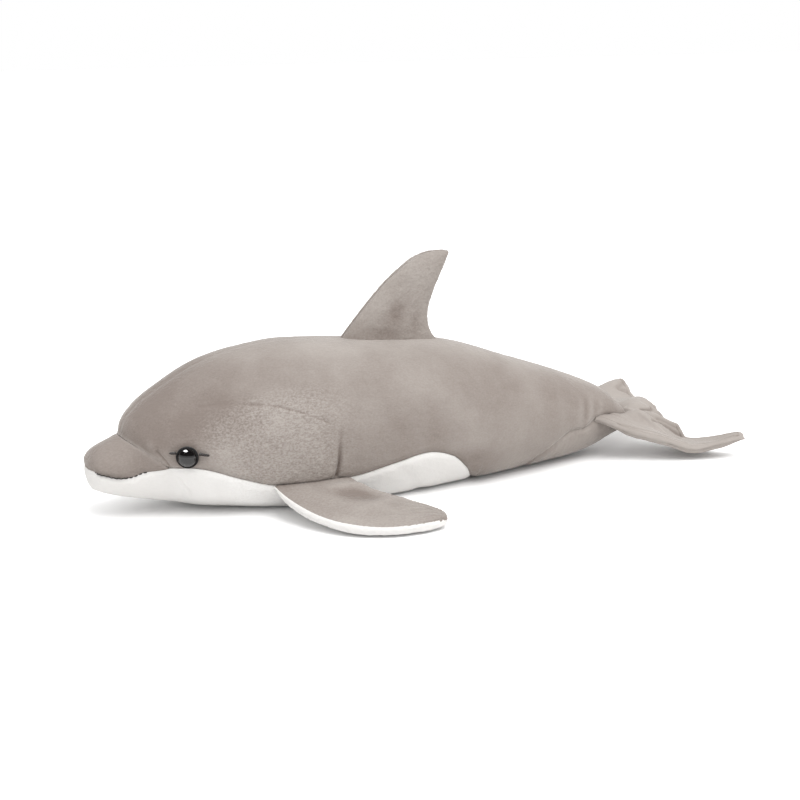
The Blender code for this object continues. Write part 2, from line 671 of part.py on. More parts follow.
def on_skin_from_eye(side, aft, up, lift):
    """Point of the skin at distances aft and up from an eye's middle, lifted off the skin."""
    angle = math.radians(EYE_ANGLE) * -side
    frame = np.array(eye_frame(side))
    step = 1e-3
    along = (skin(EYE_SECTION + step, angle) - skin(EYE_SECTION - step, angle)) / (2 * step)
    around = (skin(EYE_SECTION, angle + step) - skin(EYE_SECTION, angle - step)) / (2 * step)
    axes = frame[:3, :2].T
    steps = np.linalg.solve(np.stack([axes @ along, axes @ around], 1), np.array([-side * aft, up]))
    place = (EYE_SECTION + steps[0], angle + steps[1])
    return skin(*place) + skin_normal(*place) * lift


def corner_stitches(side, name, looks, collection):
    """The short black embroidered line at each corner of an eye."""
    lift = THREAD_DIAMETER / 2 + SEAM_GAP
    near = EYE_DIAMETER / 2 + SEAM_GAP
    stitches = (
        ("front", -1, FRONT_STITCH_LENGTH, FRONT_STITCH_RISE),
        ("rear", 1, REAR_STITCH_LENGTH, REAR_STITCH_RISE),
    )
    for place, way, length, rise in stitches:
        reach = np.linspace(near, near + length, STITCH_POINTS)
        points = [on_skin_from_eye(side, way * r, rise, lift) for r in reach]
        thread(f"{name}_eye_{place}_stitch", points, THREAD_DIAMETER, looks["black"], collection)


def mouth_stitch(side, name, looks, collection):
    """The dark thread along the mouth seam of one side."""
    sections = np.linspace(*MOUTH_THREAD_SECTIONS, MOUTH_THREAD_POINTS)
    angle = seam_angle(BELLY_SEAM, sections) * -side
    lift = MOUTH_THREAD_DIAMETER / 2 + SEAM_GAP
    points = skin(sections, angle) + skin_normal(sections, angle) * lift
    thread(f"{name}_mouth_stitch", points, MOUTH_THREAD_DIAMETER, looks["black"], collection)


def main():
    clear_scene()
    parts = bpy.data.collections.new("plush_dolphin")
    cutters = bpy.data.collections.new("cutters")
    for collection in (parts, cutters):
        bpy.context.scene.collection.children.link(collection)
    looks = {
        "grey": material("grey_plush", GREY, 0.9),
        "light_grey": material("light_grey_plush", LIGHT_GREY, 0.9),
        "white": material("white_plush", WHITE, 0.9),
        "black": material("black_plastic", BLACK, 0.12),
        "fibre": material("fibre_filling", FIBRE, 1.0),
        "washer": material("washer_plastic", WASHER_WHITE, 0.4),
    }
    side_panels(looks, parts)
    rostrum_panel(looks, parts)
    belly_panel(looks, parts)
    tail_underside_panel(looks, parts)
    body_stuffing(looks, parts)
    dorsal_fin(looks, parts)
    flukes(looks, parts)
    for side, name in ((-1, "left"), (1, "right")):
        pectoral_fin(side, name, looks, parts)
        eye(side, name, looks, parts, cutters)
        corner_stitches(side, name, looks, parts)
        mouth_stitch(side, name, looks, parts)
    for cutter in cutters.objects:
        cutter.hide_render = True
        cutter.display_type = "WIRE"


main()
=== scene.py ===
"""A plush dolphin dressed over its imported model: sewn panels, fins, eyes and threads on a plain stage.

Metres, +Z up. The beak points along -X and the dolphin's left side faces -Y.
"""

import math

import bpy
import numpy as np
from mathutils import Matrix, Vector


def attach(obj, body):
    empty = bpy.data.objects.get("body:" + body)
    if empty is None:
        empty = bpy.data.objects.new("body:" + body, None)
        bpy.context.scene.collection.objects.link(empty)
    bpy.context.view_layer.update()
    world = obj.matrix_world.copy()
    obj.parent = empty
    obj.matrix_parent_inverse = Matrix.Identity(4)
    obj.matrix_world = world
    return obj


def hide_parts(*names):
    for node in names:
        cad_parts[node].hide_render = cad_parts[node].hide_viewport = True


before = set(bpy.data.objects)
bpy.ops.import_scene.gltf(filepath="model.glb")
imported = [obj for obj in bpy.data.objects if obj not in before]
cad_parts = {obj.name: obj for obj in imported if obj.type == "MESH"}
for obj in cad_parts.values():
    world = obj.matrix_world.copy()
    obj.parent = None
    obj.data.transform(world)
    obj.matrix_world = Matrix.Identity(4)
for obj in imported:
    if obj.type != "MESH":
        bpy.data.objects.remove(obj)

bl_info = {
    "name": "Plush Dolphin",
    "version": (1, 0, 0),
    "blender": (4, 5, 0),
    "location": "View3D > Sidebar > Plush",
    "description": "Builds a sewn plush dolphin around its packed frame",
    "category": "Add Mesh",
}

# Body sizes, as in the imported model
BODY_LENGTH = 0.3355
BODY_HEIGHT = 0.087
BODY_WIDTH = 0.096
FLUKE_REACH = 0.0545
REST_BEND = 0.0030
FABRIC = 0.0020

# Sections of the body from the tip of the beak to the end of the tail. Columns: x of the top point, its
# height, x of the low point, its height, half width, widest level, squareness above it, squareness below
# it, and bow.
BEAK_SECTIONS = (
    (0.001, 0.325, 0.001, 0.317, 0.00, 0.50, 2.0, 2.0, 0.0),
    (0.005, 0.368, 0.005, 0.195, 0.19, 0.72, 2.0, 2.0, 0.0),
    (0.018, 0.425, 0.015, 0.149, 0.31, 0.55, 2.0, 2.1, 0.0),
    (0.042, 0.471, 0.054, 0.109, 0.41, 0.46, 2.0, 2.2, 0.01),
    (0.057, 0.495, 0.134, 0.046, 0.56, 0.62, 2.0, 2.2, 0.03),
)
BODY_SECTIONS = (
    (0.057, 0.495, 0.134, 0.046, 0.56, 0.62, 2.0, 2.2, 0.03),
    (0.070, 0.608, 0.176, 0.011, 0.70, 0.50, 2.1, 2.2, 0.02),
    (0.115, 0.750, 0.224, -0.011, 0.83, 0.45, 2.1, 2.3, 0.01),
    (0.212, 0.930, 0.283, -0.040, 0.94, 0.43, 2.1, 2.5, 0.0),
    (0.328, 1.000, 0.358, -0.069, 1.00, 0.43, 2.1, 2.7, 0.0),
    (0.492, 0.960, 0.492, -0.069, 1.00, 0.43, 2.1, 2.7, 0.0),
    (0.626, 0.905, 0.626, -0.046, 0.92, 0.45, 2.1, 2.4, 0.0),
    (0.760, 0.740, 0.754, -0.023, 0.75, 0.47, 2.1, 2.2, 0.0),
    (0.864, 0.598, 0.850, 0.000, 0.56, 0.52, 2.1, 2.1, 0.0),
    (0.939, 0.470, 0.918, 0.046, 0.40, 0.60, 2.1, 2.1, 0.0),
    (0.979, 0.350, 0.960, 0.100, 0.25, 0.60, 2.0, 2.0, 0.0),
    (0.995, 0.290, 0.990, 0.150, 0.15, 0.60, 2.0, 2.0, 0.0),
    (1.000, 0.232, 1.000, 0.224, 0.00, 0.50, 2.0, 2.0, 0.0),
)
CREASE = len(BEAK_SECTIONS) - 1
TAIL_END = CREASE + len(BODY_SECTIONS) - 1

# Seams as (section number, degrees from the top). Up to the crease the belly seam is the mouth. It is the
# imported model's, with more points at the nose.
BELLY_SEAM = (
    (0.0, 88.0), (0.5, 86.0), (1.0, 92.5), (1.25, 94.0), (1.5, 93.0), (2.0, 90.0), (2.6, 90.5),
    (3.0, 88.0), (3.35, 82.5), (3.7, 85.5), (4.0, 88.5), (5.0, 85.0), (5.8, 91.0), (6.5, 103.0),
    (7.1, 111.0), (8.4, 107.0), (9.0, 98.5), (9.4, 96.5), (9.75, 105.0), (10.0, 124.0), (10.2, 152.0),
    (10.3, 180.0), (11.0, 180.0),
)
TAIL_SEAM = (
    (10.7, 180.0), (10.9, 180.0), (11.0, 156.0), (11.2, 132.0), (11.8, 103.0), (12.3, 101.0), (12.6, 93.0),
    (13.0, 90.5), (14.0, 88.0), (16.0, 88.0),
)
BELLY_STOP = 10.27
TAIL_PANEL_START = 10.93
NOSE_START = 0.012
TAIL_STOP = TAIL_END - 0.03
# Section number of the eyes and their degrees from the top
EYE_PLACE = (5.37, 73.0)

# Dorsal fin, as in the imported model. The handles of its two edge curves are shares of its chord and of its
# rise. Its edge is half the thickness that it keeps beside the seam.
DORSAL_FRONT = 0.148
DORSAL_CHORD = 0.060
DORSAL_RISE = 0.051
DORSAL_RAKE = 0.007
DORSAL_HALF_THICKNESS = 0.0064
DORSAL_EDGE = 0.0012
DORSAL_LEADING_HANDLES = ((0.42, 0.68), (-0.35, 0.12))
DORSAL_TRAILING_HANDLES = ((-0.24, 0.34), (-0.12, -0.38))

# Pectoral fins, the left one given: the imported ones, with their root, tip and trailing edge drawn finer.
# The handles of their edge curves are shares of their reach. The seam between grey and white lies at a turn
# round the leading edge, and the upper layer thins towards the trailing edge.
PECTORAL_ROOT_SECTIONS = (7.05, 8.38)
PECTORAL_REACH = 0.056
PECTORAL_SWEEP = 0.031
PECTORAL_TIP_HEIGHT = 0.0052
PECTORAL_TIP_REACH_SHARE = 0.97
PECTORAL_HALF_THICKNESS = 0.0048
PECTORAL_EDGE = 0.0014
PECTORAL_LEADING_HANDLES = ((0.054, -0.62, -0.054), (0.536, -1.34, -0.036))
PECTORAL_TRAILING_HANDLES = ((0.179, -0.20, -0.18), (0.232, 0.32, 0.0))
PECTORAL_ROOT_RISE_SHARE = 0.25
PECTORAL_SEAM_TURN = 0.33
PECTORAL_SEAM_GAP = 0.004
PECTORAL_THINNING = 0.3

# Flukes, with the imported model's outline, but for the left one's tip, which is drawn a little wider. The
# heights of their folds are in FLUKE_HEIGHTS.
FLUKE_HALF_SPAN = 0.053
FLUKE_NOTCH_REACH = 0.024
RIGHT_TIP_REACH = 0.031
FLUKE_MID_REACH_SHARE = 0.55
FLUKE_MID_SPAN_SHARE = 0.93
FLUKE_ROOT_SPACING = 0.75
FLUKE_ROOT_SECTION = 12.55
FLUKE_HALF_THICKNESS = 0.0024
FLUKE_EDGE = 0.0022
LEFT_TIP_WIDENING = 0.0048
LEFT_TIP_CUT = 0.0012

# All fins: the share of their length over which they follow the body, how deep their root line is sunk,
# and half the thickness of a closed edge, outside and inside its fabric
ROOT_BLEND = 0.3
ROOT_SINK = 0.0006
FIN_EDGE = 0.00015
FIN_LINING = 0.00005

# Lowest heights over the floor: of the fabric's outer face, and of its inner face in body and fins
OUTER_LOW = 0.0001
BODY_INNER_LOW = 0.0004
FIN_INNER_LOW = 0.0002

# Step of section number, angle or share over which a surface's slopes are measured
STEP = 1e-3


class PlushSettings(bpy.types.PropertyGroup):
    """The plush fabric's sizes and colours."""

    grey: bpy.props.FloatVectorProperty(
        name="Grey pile", description="Colour of the grey plush", subtype="COLOR", size=3,
        default=(0.420, 0.380, 0.350),
    )
    # The low end of the grey pile's colour, reached by random patches and by painted shade
    grey_low: bpy.props.FloatVectorProperty(
        name="Dark pile and painted shade", description="Colour of the darkest grey pile and of painted shade", subtype="COLOR",
        size=3, default=(0.240, 0.200, 0.177),
    )
    white: bpy.props.FloatVectorProperty(
        name="White pile", description="Colour of the white plush", subtype="COLOR", size=3,
        default=(0.90, 0.885, 0.865),
    )
    # The low end of the white pile's colour, reached by random patches and by painted shade
    white_low: bpy.props.FloatVectorProperty(
        name="White pile and painted shade", description="Colour of the darkest white pile and of painted shade", subtype="COLOR",
        size=3, default=(0.78, 0.76, 0.735),
    )
    nap_height: bpy.props.FloatProperty(
        name="Nap height", description="How far the pile's tufts stand up and down", unit="LENGTH",
        default=0.00017,
    )
    nap_size: bpy.props.FloatProperty(
        name="Nap size", description="Width of one tuft of pile", unit="LENGTH", default=0.0015
    )
    seam_depth: bpy.props.FloatProperty(
        name="Seam depth", description="How deep the fabric turns in at a seam", unit="LENGTH",
        default=0.0013,
    )
    seam_width: bpy.props.FloatProperty(
        name="Seam width", description="How wide the fabric turns in at a seam", unit="LENGTH",
        default=0.0018,
    )
    lumps: bpy.props.FloatProperty(
        name="Lumps", description="Unevenness of the filling under the fabric", unit="LENGTH",
        default=0.0006,
    )
    pressure: bpy.props.FloatProperty(
        name="Filling pressure", description="Pressure of the filling in the cloth simulation", default=4.0
    )
    puff: bpy.props.FloatProperty(
        name="Puff", description="The most that the filling pushes the fabric out", unit="LENGTH",
        default=0.0022,
    )


class TrimSettings(bpy.types.PropertyGroup):
    """Eyes and threads."""

    eye_diameter: bpy.props.FloatProperty(
        name="Eye diameter", description="Width of a moulded eye", unit="LENGTH", default=0.0120
    )
    eye_height: bpy.props.FloatProperty(
        name="Eye height", description="How far an eye stands out", unit="LENGTH", default=0.0046
    )
    thread_diameter: bpy.props.FloatProperty(
        name="Thread diameter", description="Thickness of the stitches at the eyes", unit="LENGTH",
        default=0.0013,
    )
    mouth_thread_diameter: bpy.props.FloatProperty(
        name="Mouth thread", description="Thickness of the thread along the mouth", unit="LENGTH",
        default=0.0007,
    )
    thread: bpy.props.FloatVectorProperty(
        name="Thread colour", description="Colour of the dark thread", subtype="COLOR", size=3,
        default=(0.022, 0.016, 0.014),
    )
    eye: bpy.props.FloatVectorProperty(
        name="Eye colour", description="Colour of the moulded eyes", subtype="COLOR", size=3,
        default=(0.006, 0.005, 0.005),
    )
    washer: bpy.props.FloatVectorProperty(
        name="Washer colour", description="Colour of the washers behind the eyes", subtype="COLOR", size=3,
        default=(0.70, 0.70, 0.68),
    )


class StageSettings(bpy.types.PropertyGroup):
    """Floor and light."""

    floor: bpy.props.FloatVectorProperty(
        name="Floor", description="Colour of the floor", subtype="COLOR", size=3, default=(0.90, 0.90, 0.90)
    )
    glow: bpy.props.FloatProperty(
        name="Floor glow", description="What the camera sees added to the floor, so that it is white",
        default=0.40,
    )
    # How near the toy takes the floor's glow away: the reach of the painted contact shadow.
    contact: bpy.props.FloatProperty(
        name="Contact", description="Height over the floor under which the toy takes its glow away",
        subtype="DISTANCE", unit="LENGTH", default=0.022,
    )
    sky: bpy.props.FloatProperty(
        name="Sky", description="Strength of the light from all round", default=0.78
    )
    sun: bpy.props.FloatProperty(
        name="Overhead", description="Strength of the wide lamp above", default=1.80
    )
    spark: bpy.props.FloatProperty(
        name="Eye lamps", description="Power of the lamps that only gloss reflects", unit="POWER",
        default=16.0,
    )


def spline(rows, place):
    """Catmull-Rom curve through the rows, read at row numbers that need not be whole."""
    table = np.asarray(rows, float)
    last = len(table) - 1
    place = np.clip(np.asarray(place, float), 0, last)
    low = np.minimum(place.astype(int), last - 1)
    f = (place - low)[..., None]
    p1, p2 = table[low], table[low + 1]
    p0 = np.where((low == 0)[..., None], 2 * p1 - p2, table[np.maximum(low - 1, 0)])
    p3 = np.where((low == last - 1)[..., None], 2 * p2 - p1, table[np.minimum(low + 2, last)])
    ends = 2 * p1 + (p2 - p0) * f + (2 * p0 - 5 * p1 + 4 * p2 - p3) * f**2
    return (ends + (3 * p1 - p0 - 3 * p2 + p3) * f**3) / 2


def nose_x():
    """Where the body starts along X, so that the whole length with the flukes is centred on the origin."""
    return -(BODY_LENGTH + FLUKE_REACH) / 2


def rested(z):
    """Height with all that would sink under the floor pressed flat. A parabola joins flat and slope."""
    bend = (z + REST_BEND) ** 2 / (4 * REST_BEND)
    return np.where(z > REST_BEND, z, np.where(z < -REST_BEND, 0.0, bend))


def section_point(row, angle):
    """Superellipse section: height follows |cos|^(2/n), half width |sin|^(2/n), and x bows back between."""
    top_x, top_z, low_x, low_z, half, belt, above, below, bow = np.moveaxis(row, -1, 0)
    c, s = np.cos(angle), np.sin(angle)
    power = 2 / np.where(c > 0, above, below)
    rise = np.sign(c) * np.abs(c) ** power
    level = np.where(rise > 0, belt + (1 - belt) * rise, belt + belt * rise)
    x = low_x + (top_x - low_x) * level + 4 * bow * level * (1 - level)
    y = -half * np.sign(s) * np.abs(s) ** power
    z = (low_z + (top_z - low_z) * level) * BODY_HEIGHT
    return np.stack([nose_x() + x * BODY_LENGTH, y * BODY_WIDTH / 2, rested(z)], -1)


def skin(section, angle):
    """Outer surface of the body: sections along it, angle round it. Beak and head meet in the crease."""
    section, angle = np.broadcast_arrays(np.asarray(section, float), np.asarray(angle, float))
    beak = section_point(spline(BEAK_SECTIONS, section), angle)
    body = section_point(spline(BODY_SECTIONS, section - CREASE), angle)
    return np.where((section <= CREASE)[..., None], beak, body)


def unit(vectors):
    """The vectors at length 1."""
    return vectors / np.maximum(np.linalg.norm(vectors, axis=-1, keepdims=True), 1e-12)


def skin_normal(section, angle):
    """Cross product of small steps round and along the skin, which stay on one side of the crease."""
    section, angle = np.broadcast_arrays(np.asarray(section, float), np.asarray(angle, float))
    on_beak = section <= CREASE
    fore = np.where(on_beak, section - STEP, np.maximum(section - STEP, CREASE + 1e-6))
    aft = np.where(on_beak, np.minimum(section + STEP, CREASE), section + STEP)
    along = skin(aft, angle) - skin(fore, angle)
    around = skin(section, angle + STEP) - skin(section, angle - STEP)
    return unit(np.cross(around, along))


def turn_along(section, angle, distance):
    """The angle that a distance round the skin takes, by the length that a small step both ways runs."""
    moved = np.linalg.norm(skin(section, angle + STEP) - skin(section, angle - STEP), axis=-1)
    return distance * 2 * STEP / np.maximum(moved, 1e-6)


def seam_angle(table, section):
    """Angle of a seam at each section, at most 180 degrees, where the two sides meet below."""
    stops, degrees = np.array(table).T
    place = np.interp(section, stops, np.arange(len(stops)))
    return np.minimum(spline(np.radians(degrees)[:, None], place)[..., 0], np.pi)


def bezier(points, t):
    """Cubic curve of four control points."""
    p = np.asarray(points, float)
    t = np.asarray(t, float)[..., None]
    start, end = p[0] * (1 - t) ** 3, p[3] * t**3
    return start + 3 * p[1] * t * (1 - t) ** 2 + 3 * p[2] * t**2 * (1 - t) + end


def noise(points, size, seed, cells=32):
    """Smooth noise from -1 to 1: random values on a lattice of that size, eased between its corners."""
    lattice = np.random.default_rng(seed).uniform(-1, 1, (cells, cells, cells))
    place = points / size
    cell = np.floor(place).astype(int)
    f = place - cell
    f = f * f * f * (f * (6 * f - 15) + 10)
    total = np.zeros(points.shape[:-1])
    for corner in np.ndindex(2, 2, 2):
        weight = np.prod(np.where(np.array(corner, bool), f, 1 - f), axis=-1)
        i, j, k = np.moveaxis((cell + corner) % cells, -1, 0)
        total += weight * lattice[i, j, k]
    return total


def steps_between(points, axis):
    """Distance run along a grid's rows or columns, from its first point."""
    lengths = np.linalg.norm(np.diff(points, axis=axis), axis=-1)
    start = np.zeros_like(np.take(lengths, [0], axis=axis))
    return np.cumsum(np.concatenate([start, lengths], axis=axis), axis=axis)


def crowded(count, share=0.55):
    """Numbers from 0 to 1 that lie closer together at both ends: even ones mixed with a cosine's share."""
    even = np.linspace(0, 1, count)
    return (1 - share) * even + share * (1 - np.cos(np.pi * even)) / 2


def new_mesh_object(name, points, faces, marks=None):
    """A mesh object from points and triangles, smooth but for its edges.

    Its faces are turned round if its volume comes out negative. marks are named numbers, one for each
    point, that the materials read.
    """
    corners = points[faces]
    volume = np.einsum("ij,ij->", corners[:, 0], np.cross(corners[:, 1], corners[:, 2]))
    if volume < 0:
        faces = faces[:, ::-1]
    mesh = bpy.data.meshes.new(name)
    mesh.vertices.add(len(points))
    mesh.vertices.foreach_set("co", points.astype(np.float32).ravel())
    mesh.loops.add(faces.size)
    mesh.loops.foreach_set("vertex_index", faces.astype(np.int32).ravel())
    mesh.polygons.add(len(faces))
    mesh.polygons.foreach_set("loop_start", np.arange(0, faces.size, 3, dtype=np.int32))
    mesh.update(calc_edges=True)
    mesh.validate()
    mesh.shade_smooth()
    mesh.set_sharp_from_angle(angle=math.radians(70))
    for mark, values in (marks or {}).items():
        layer = mesh.attributes.new(mark, "FLOAT", "POINT")
        layer.data.foreach_set("value", values.astype(np.float32))
    made = bpy.data.objects.new(name, mesh)
    bpy.context.scene.collection.objects.link(made)
    return made


def triangles(a, b, c, d):
    """Two triangles for each cell of four corners in order round it: abc, and acd."""
    return np.concatenate([np.stack([a, b, c], -1).reshape(-1, 3), np.stack([a, c, d], -1).reshape(-1, 3)])


def thinned(count, step):
    """Every step-th number up to count - 1, with the last one kept."""
    return np.unique(np.concatenate([np.arange(0, count, step), [count - 1]]))


def fabric_body(name, outer, inner, marks, step=6):
    """Closed fabric body: the outer grid, every step-th row and column of the inner one, and a wall.

    Each edge point of the outer grid is joined to the nearest edge point that the inner grid keeps.
    """
    rows, columns = outer.shape[:2]
    index = np.arange(rows * columns).reshape(rows, columns)
    front = triangles(index[:-1, :-1], index[:-1, 1:], index[1:, 1:], index[1:, :-1])
    kept_rows, kept_columns = thinned(rows, step), thinned(columns, step)
    lining = inner[np.ix_(kept_rows, kept_columns)]
    back = np.arange(len(kept_rows) * len(kept_columns)).reshape(lining.shape[:2]) + rows * columns
    behind = triangles(back[1:, 1:], back[:-1, 1:], back[:-1, :-1], back[1:, :-1])
    near_row, near_column = (
        np.searchsorted(kept, np.arange(count) - step / 2).clip(0, len(kept) - 1)
        for kept, count in ((kept_rows, rows), (kept_columns, columns))
    )
    nearest = back[np.ix_(near_row, near_column)]
    nearest[-1, :], nearest[:, -1] = back[-1, near_column], back[near_row, -1]
    nearest[-1, -1] = back[-1, -1]
    edge, under = (
        np.concatenate([grid[0, :-1], grid[:-1, -1], grid[-1, :0:-1], grid[:0:-1, 0]])
        for grid in (index, nearest)
    )
    after, under_after = np.roll(edge, -1), np.roll(under, -1)
    wall = np.stack([after, edge, under], -1)
    rest = np.stack([after, under, under_after], -1)[under != under_after]
    points = np.concatenate([outer.reshape(-1, 3), lining.reshape(-1, 3)])
    lined = {mark: np.concatenate([values.ravel(), np.zeros(back.size)]) for mark, values in marks.items()}
    return new_mesh_object(name, points, np.concatenate([front, behind, wall, rest]), lined)


def tube_body(name, rings, marks=None):
    """Closed body through a row of closed rings, with a fan of faces over each end.

    marks has a number for each ring. The middles of the two ends come after the rings' own points.
    """
    rows, columns = rings.shape[:2]
    index = np.arange(rows * columns).reshape(rows, columns)
    a, b = index[:-1], np.roll(index[:-1], -1, axis=1)
    c, d = np.roll(index[1:], -1, axis=1), index[1:]
    front, back = np.full(columns, index.size), np.full(columns, index.size + 1)
    fans = [np.stack([b[0], a[0], front], -1), np.stack([d[-1], c[-1], back], -1)]
    faces = np.concatenate([triangles(a, b, c, d), *fans])
    points = np.concatenate([rings.reshape(-1, 3), [rings[0].mean(axis=0)], [rings[-1].mean(axis=0)]])
    spread = {}
    for mark, values in (marks or {}).items():
        spread[mark] = np.append(np.repeat(values, columns), values[[0, -1]])
    return new_mesh_object(name, points, faces, spread)


def bicubic(field, row, column):
    """Value of a grid at places between its points, Catmull-Rom both ways. Its columns close into a ring."""
    rows, columns = field.shape[:2]
    low_row, low_column = np.floor(row).astype(int), np.floor(column).astype(int)

    def weights(f):
        """Catmull-Rom weights of the four points round a place."""
        return (
            (-f + 2 * f**2 - f**3) / 2,
            (2 - 5 * f**2 + 3 * f**3) / 2,
            (f + 4 * f**2 - 3 * f**3) / 2,
            (-(f**2) + f**3) / 2,
        )

    total = np.zeros((*np.shape(row), field.shape[-1]))
    for i, row_weight in enumerate(weights(row - low_row)):
        at_row = np.clip(low_row + i - 1, 0, rows - 1)
        for j, column_weight in enumerate(weights(column - low_column)):
            at_column = (low_column + j - 1) % columns
            total += (row_weight * column_weight)[..., None] * field[at_row, at_column]
    return total


def filled_moves(name, rings, held, pressure, cap):
    """How far each point of a closed tube of rings moves as cloth, with pressure inside and no gravity.

    Points that are held stay where they are. A move of length m is shortened to cap * tanh(m / cap).
    """
    made = tube_body(name, rings)
    ends = [held.size, held.size + 1]
    group = made.vertex_groups.new(name="held")
    group.add(np.flatnonzero(held.ravel()).tolist() + ends, 1.0, "REPLACE")
    cloth = made.modifiers.new("filling", "CLOTH")
    cloth.settings.quality = 5
    cloth.settings.mass = 0.2
    cloth.settings.use_pressure = True
    cloth.settings.uniform_pressure_force = pressure
    cloth.settings.vertex_group_mass = "held"
    cloth.settings.bending_stiffness = 0.4
    cloth.settings.effector_weights.gravity = 0
    cloth.point_cache.frame_start = 1
    cloth.point_cache.frame_end = FILLING_FRAMES
    for number in range(1, FILLING_FRAMES + 1):
        bpy.context.scene.frame_set(number)
    result = made.evaluated_get(bpy.context.evaluated_depsgraph_get()).data
    moved = np.empty(len(result.vertices) * 3, np.float32)
    result.vertices.foreach_get("co", moved)
    moves = moved.reshape(-1, 3)[: held.size].reshape(rings.shape) - rings
    bpy.context.scene.frame_set(1)
    bpy.data.objects.remove(made)
    length = np.linalg.norm(moves, axis=-1, keepdims=True)
    return moves * cap * np.tanh(length / cap) / np.maximum(length, 1e-9)


def plush_settings():
    """The user's sizes and colours for the fabric."""
    return bpy.context.scene.plush_dolphin


def trim_settings():
    """The user's sizes and colours for the eyes and threads."""
    return bpy.context.scene.plush_dolphin_trim


# The coarse tubes on which the filling is simulated. A seam holds the points within a share of a column.
FILLING_FRAMES = 20
SEAM_HOLD = 0.6
BODY_RING_ROWS = 110
BODY_RING_COLUMNS = 72
BODY_RING_MARGIN = 0.1
CREASE_HOLD = 0.08
BODY_FLOOR_HOLD = 0.0006
FIN_RING_ROWS = 34
FIN_RING_COLUMNS = 48
FIN_RING_MARGIN = 0.02
FIN_ENDS_HELD = (0.04, 0.95)
FIN_FLOOR_HOLD = 0.0012
FIN_PUFF_SHARE = 0.4
_moves = {}


def body_moves():
    """The filling's push on the body, worked out once: a coarse tube held at its seams and on the floor."""
    if "body" not in _moves:
        settings = plush_settings()
        sections = np.linspace(BODY_RING_MARGIN, TAIL_END - BODY_RING_MARGIN, BODY_RING_ROWS)
        angles = np.arange(BODY_RING_COLUMNS) * 2 * np.pi / BODY_RING_COLUMNS
        rings = skin(sections[:, None], angles[None, :])
        turn = np.minimum(angles, 2 * np.pi - angles)[None, :]
        near = SEAM_HOLD * 2 * np.pi / BODY_RING_COLUMNS
        belly = seam_angle(BELLY_SEAM, sections)[:, None]
        tail = seam_angle(TAIL_SEAM, sections)[:, None]
        held = np.abs(turn - belly) < near
        held |= (np.abs(turn - tail) < near) & (sections[:, None] > TAIL_PANEL_START)
        held |= np.abs(sections[:, None] - CREASE) < CREASE_HOLD
        held |= rings[..., 2] < BODY_FLOOR_HOLD
        _moves["body"] = filled_moves("filled_body", rings, held, settings.pressure, settings.puff)
    return _moves["body"]


def body_push(section, angle):
    """The filling's push at any place of the skin, read from the coarse rings."""
    row = (section - BODY_RING_MARGIN) / (TAIL_END - 2 * BODY_RING_MARGIN) * (BODY_RING_ROWS - 1)
    column = (angle / (2 * np.pi) * BODY_RING_COLUMNS) % BODY_RING_COLUMNS
    return bicubic(body_moves(), np.clip(row, 0, BODY_RING_ROWS - 1), column)


def seam_dip(distance, depth, width):
    """A rounded groove, depth times exp(-(distance/width)^2)."""
    return -depth * np.exp(-((distance / width) ** 2))


def puckers(distance, run, seed, height, reach=0.0045, pitch=0.0042):
    """Small gathers beside a seam: waves along it of uneven pitch that fade with the distance from it."""
    line = np.stack([run, 0 * run, 0 * run], -1)
    wave = np.cos(2 * np.pi * run / pitch + 4 * noise(line, pitch * 2.5, seed))
    return height * wave * np.exp(-distance / reach) * (0.6 + 0.4 * noise(line, 0.02, seed + 1))


def nap(points, seed):
    """Tufts of pile: two sizes of noise, stretched along the body as the pile lies."""
    settings = plush_settings()
    lie = points * np.array([0.6, 1.0, 1.0])
    tufts = noise(lie, settings.nap_size, seed) + 0.55 * noise(lie, settings.nap_size * 0.5, seed + 1)
    return settings.nap_height * tufts


def line_distance(points, line):
    """Distance from each point to a line of points."""
    flat = points.reshape(-1, 3)
    best = np.full(len(flat), np.inf)
    for start, end in zip(line[:-1], line[1:]):
        way = end - start
        share = np.clip((flat - start) @ way / (way @ way), 0, 1)
        best = np.minimum(best, np.linalg.norm(flat - start - share[:, None] * way, axis=-1))
    return best.reshape(points.shape[:-1])


# Darts sewn into each side and a fold at the mouth's end, as (section, degrees) from end to end
FLANK_DART = ((8.30, 77.5), (8.27, 86.0), (8.24, 95.0), (8.20, 105.0))
HEAD_DART = ((6.40, 42.0), (7.02, 53.5), (7.42, 58.5), (7.82, 65.5), (8.17, 74.0))
CHEEK_FOLD = ((4.50, 57.0), (4.34, 70.0), (4.18, 82.0))

# A small tuft before each eye, as (section, degrees)
BROW_TUFT = (4.57, 48.0)

# Height at which the flank's dart fades out, how far a seam holds the filling, and the height over the floor
# below which lumps and nap are pressed flat
FLANK_DART_TOP = 0.046
SEAM_REACH = 0.006
PRESSED_HEIGHT = 0.006


def dart_line(table, side, count=14):
    """Points on the skin along a smooth curve through a table's places, on one side."""
    places = spline(np.array(table), np.linspace(0, len(table) - 1, count))
    return skin(places[:, 0], np.radians(places[:, 1]) * -side)


def hump(value, middle, width):
    """A bell, exp(-((value - middle) / width)^2)."""
    return np.exp(-(((value - middle) / width) ** 2))


def step_up(value, start, end):
    """0 before start, 1 past end and an eased slope between them."""
    f = np.clip((value - start) / (end - start), 0, 1)
    return f * f * (3 - 2 * f)


